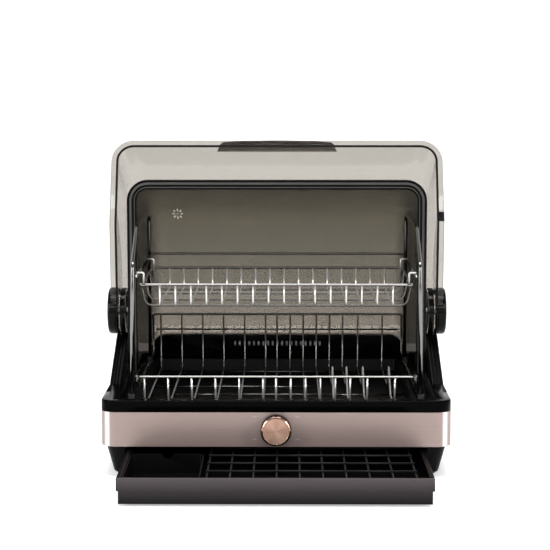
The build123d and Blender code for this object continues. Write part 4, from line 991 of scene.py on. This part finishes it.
# ---- Upper basket ----
# A closed rim of chromed wire with sixteen U-shaped bars welded under it, on which cups stand.
# Its four hooks lap over the support rail, so that it lifts off.
UPPER_RIM_Z, UPPER_FLOOR_Z = 241.0, 214.0
UPPER_FRONT, UPPER_REAR, UPPER_HALF = 146.0, -44.0, 177.0
CUP_BARS, CUP_PITCH = 16, 20.3
BAR_DRAW, CROSS_DRAW = 4, 6  # how far the bars' and cross wires' sides lean in to the floor
HOOK_IN = 14
UPPER_PLAN = ((0, UPPER_FRONT), (-UPPER_HALF, UPPER_FRONT), (-UPPER_HALF, UPPER_REAR), (UPPER_HALF, UPPER_REAR),
              (UPPER_HALF, UPPER_FRONT), (0, UPPER_FRONT))
upper_loop = fillet_points([at(x, ahead, UPPER_RIM_Z) for x, ahead in UPPER_PLAN], 8 * MM, 8)[:-1]
upper_rim = tube(upper_loop, RIM_WIRE / 2 * MM, UP, loop=True)
wire_piece("upper_rim_wire", [upper_rim], "upper_basket", "upper_basket_rim", metal=rail_chrome)


def upper_bar(x):
    """One U-shaped bar of the upper basket."""
    line = ((UPPER_FRONT, UPPER_RIM_Z), (UPPER_FRONT - BAR_DRAW, UPPER_FLOOR_Z),
            (UPPER_REAR + BAR_DRAW, UPPER_FLOOR_Z), (UPPER_REAR, UPPER_RIM_Z))
    return tube(fillet_points([at(x, ahead, z) for ahead, z in line], 5 * MM), BAR_WIRE / 2 * MM, ACROSS)


cup_bars = [upper_bar(CUP_PITCH * (i - (CUP_BARS - 1) / 2)) for i in range(CUP_BARS)]
wire_piece("upper_bar_wires", cup_bars, "upper_basket", "upper_basket_bars")
cross_z = UPPER_FLOOR_Z - BAR_WIRE
cross_line = ((-UPPER_HALF, UPPER_RIM_Z), (-UPPER_HALF + CROSS_DRAW, cross_z), (UPPER_HALF - CROSS_DRAW, cross_z),
              (UPPER_HALF, UPPER_RIM_Z))
cross = [tube(fillet_points([at(x, ahead, z) for x, z in cross_line], 12 * MM, 8), BAR_WIRE / 2 * MM, DEEP)
         for ahead in (-30, 10, 72, 130)]
wire_piece("upper_cross", cross, "upper_basket", "upper_cross_wires", metal=cross_chrome)
hooks = []
crest = RAIL_Z + (RIM_WIRE + BAR_WIRE) / 2 + 0.2
hook_x = UPPER_HALF - (RIM_WIRE + BAR_WIRE) / 2
for sign in (-1, 1):
    hook_line = ((sign * hook_x, UPPER_RIM_Z - 3), (sign * hook_x, crest), (sign * (RAIL_X + 1), crest))
    for ahead in (UPPER_FRONT - HOOK_IN, UPPER_REAR + HOOK_IN):
        path = fillet_points([at(x, ahead, z) for x, z in hook_line], 2.5 * MM)
        hooks.append(tube(path, BAR_WIRE / 2 * MM, DEEP))
wire_piece("upper_hook_wires", hooks, "upper_basket", "upper_basket_hooks")

# ---- Drawer ----
# Black moulded tray on runners, with a dark grey front screwed to it; painted shade darkens the front towards its
# foot.
# A lift-out cutlery box stands at the left, and a grate of wire lies beside it, coloured near-black as painted shade.
front_grey = grained("drawer_front_grey", (0.045, 0.041, 0.043), 0.3, 0.04, 0.02, 400.0, specular_ior_level=0.1)
# Painted shade: the front's colour is graded darker towards its foot.
graded(front_grey, "Z", [(0.004, (0.003, 0.003, 0.003)), (0.018, (0.026, 0.022, 0.023)), (0.034, (0.07, 0.06, 0.063))])
tray_black = grained("tray_black", (0.003, 0.003, 0.0032), 0.25, 0.05, 0.03, 500.0, specular_ior_level=0.02, ior=1.4)
# Painted shade: the grate's steel wire is coloured near-black for the dark drawer it lies in.
grate_steel = grained("grate_steel", (0.012, 0.011, 0.011), 0.3, 0.06, 0.03, 700.0, specular_ior_level=0.08)
softened("drawer_front", "drawer_face", 0.5 * MM, "drawer", front_grey)
softened("drawer_tray", "tray_moulding", 0.4 * MM, "drawer", tray_black)
softened("cutlery_box", "cutlery_bin", 0.4 * MM, "drawer", tray_black)
grate_low, grate_high = (np.array(corner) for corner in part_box("drawer_grate"))
GRATE_RADIUS, GRATE_LEG_BEND = 1.3 * MM, 4 * MM
GRATE_LONG, GRATE_ROWS = 10, 7  # wires from front to back, and wires across them
GRATE_INSET, ROW_FIRST, ROW_PITCH = 2 * MM, 33.5 * MM, 41.5 * MM
grate_runs = []
front_y, back_y = grate_low[1] + GRATE_RADIUS, grate_high[1] - GRATE_RADIUS
long_z, row_z = grate_high[2] - 3 * GRATE_RADIUS, grate_high[2] - GRATE_RADIUS
grate_x = np.linspace(grate_low[0] + GRATE_INSET, grate_high[0] - GRATE_INSET, GRATE_LONG)
for k, x in enumerate(grate_x):
    corners = [(x, front_y, long_z), (x, back_y, long_z)]
    if k in (0, GRATE_LONG - 1):  # the outer wires turn down into legs
        corners = [(x, front_y, grate_low[2])] + corners + [(x, back_y, grate_low[2])]
        grate_runs.append(tube(fillet_points(corners, GRATE_LEG_BEND), GRATE_RADIUS, ACROSS))
    else:
        grate_runs.append(tube(np.linspace(*corners, 3), GRATE_RADIUS, ACROSS))
for row in range(GRATE_ROWS):
    y = front_y + ROW_FIRST + ROW_PITCH * row
    ends = [(grate_low[0], y, row_z), (grate_high[0], y, row_z)]
    grate_runs.append(tube(np.linspace(*ends, 3), GRATE_RADIUS, UP))
wire_piece("grate_wires", grate_runs, "drawer", "drawer_grate", metal=grate_steel)
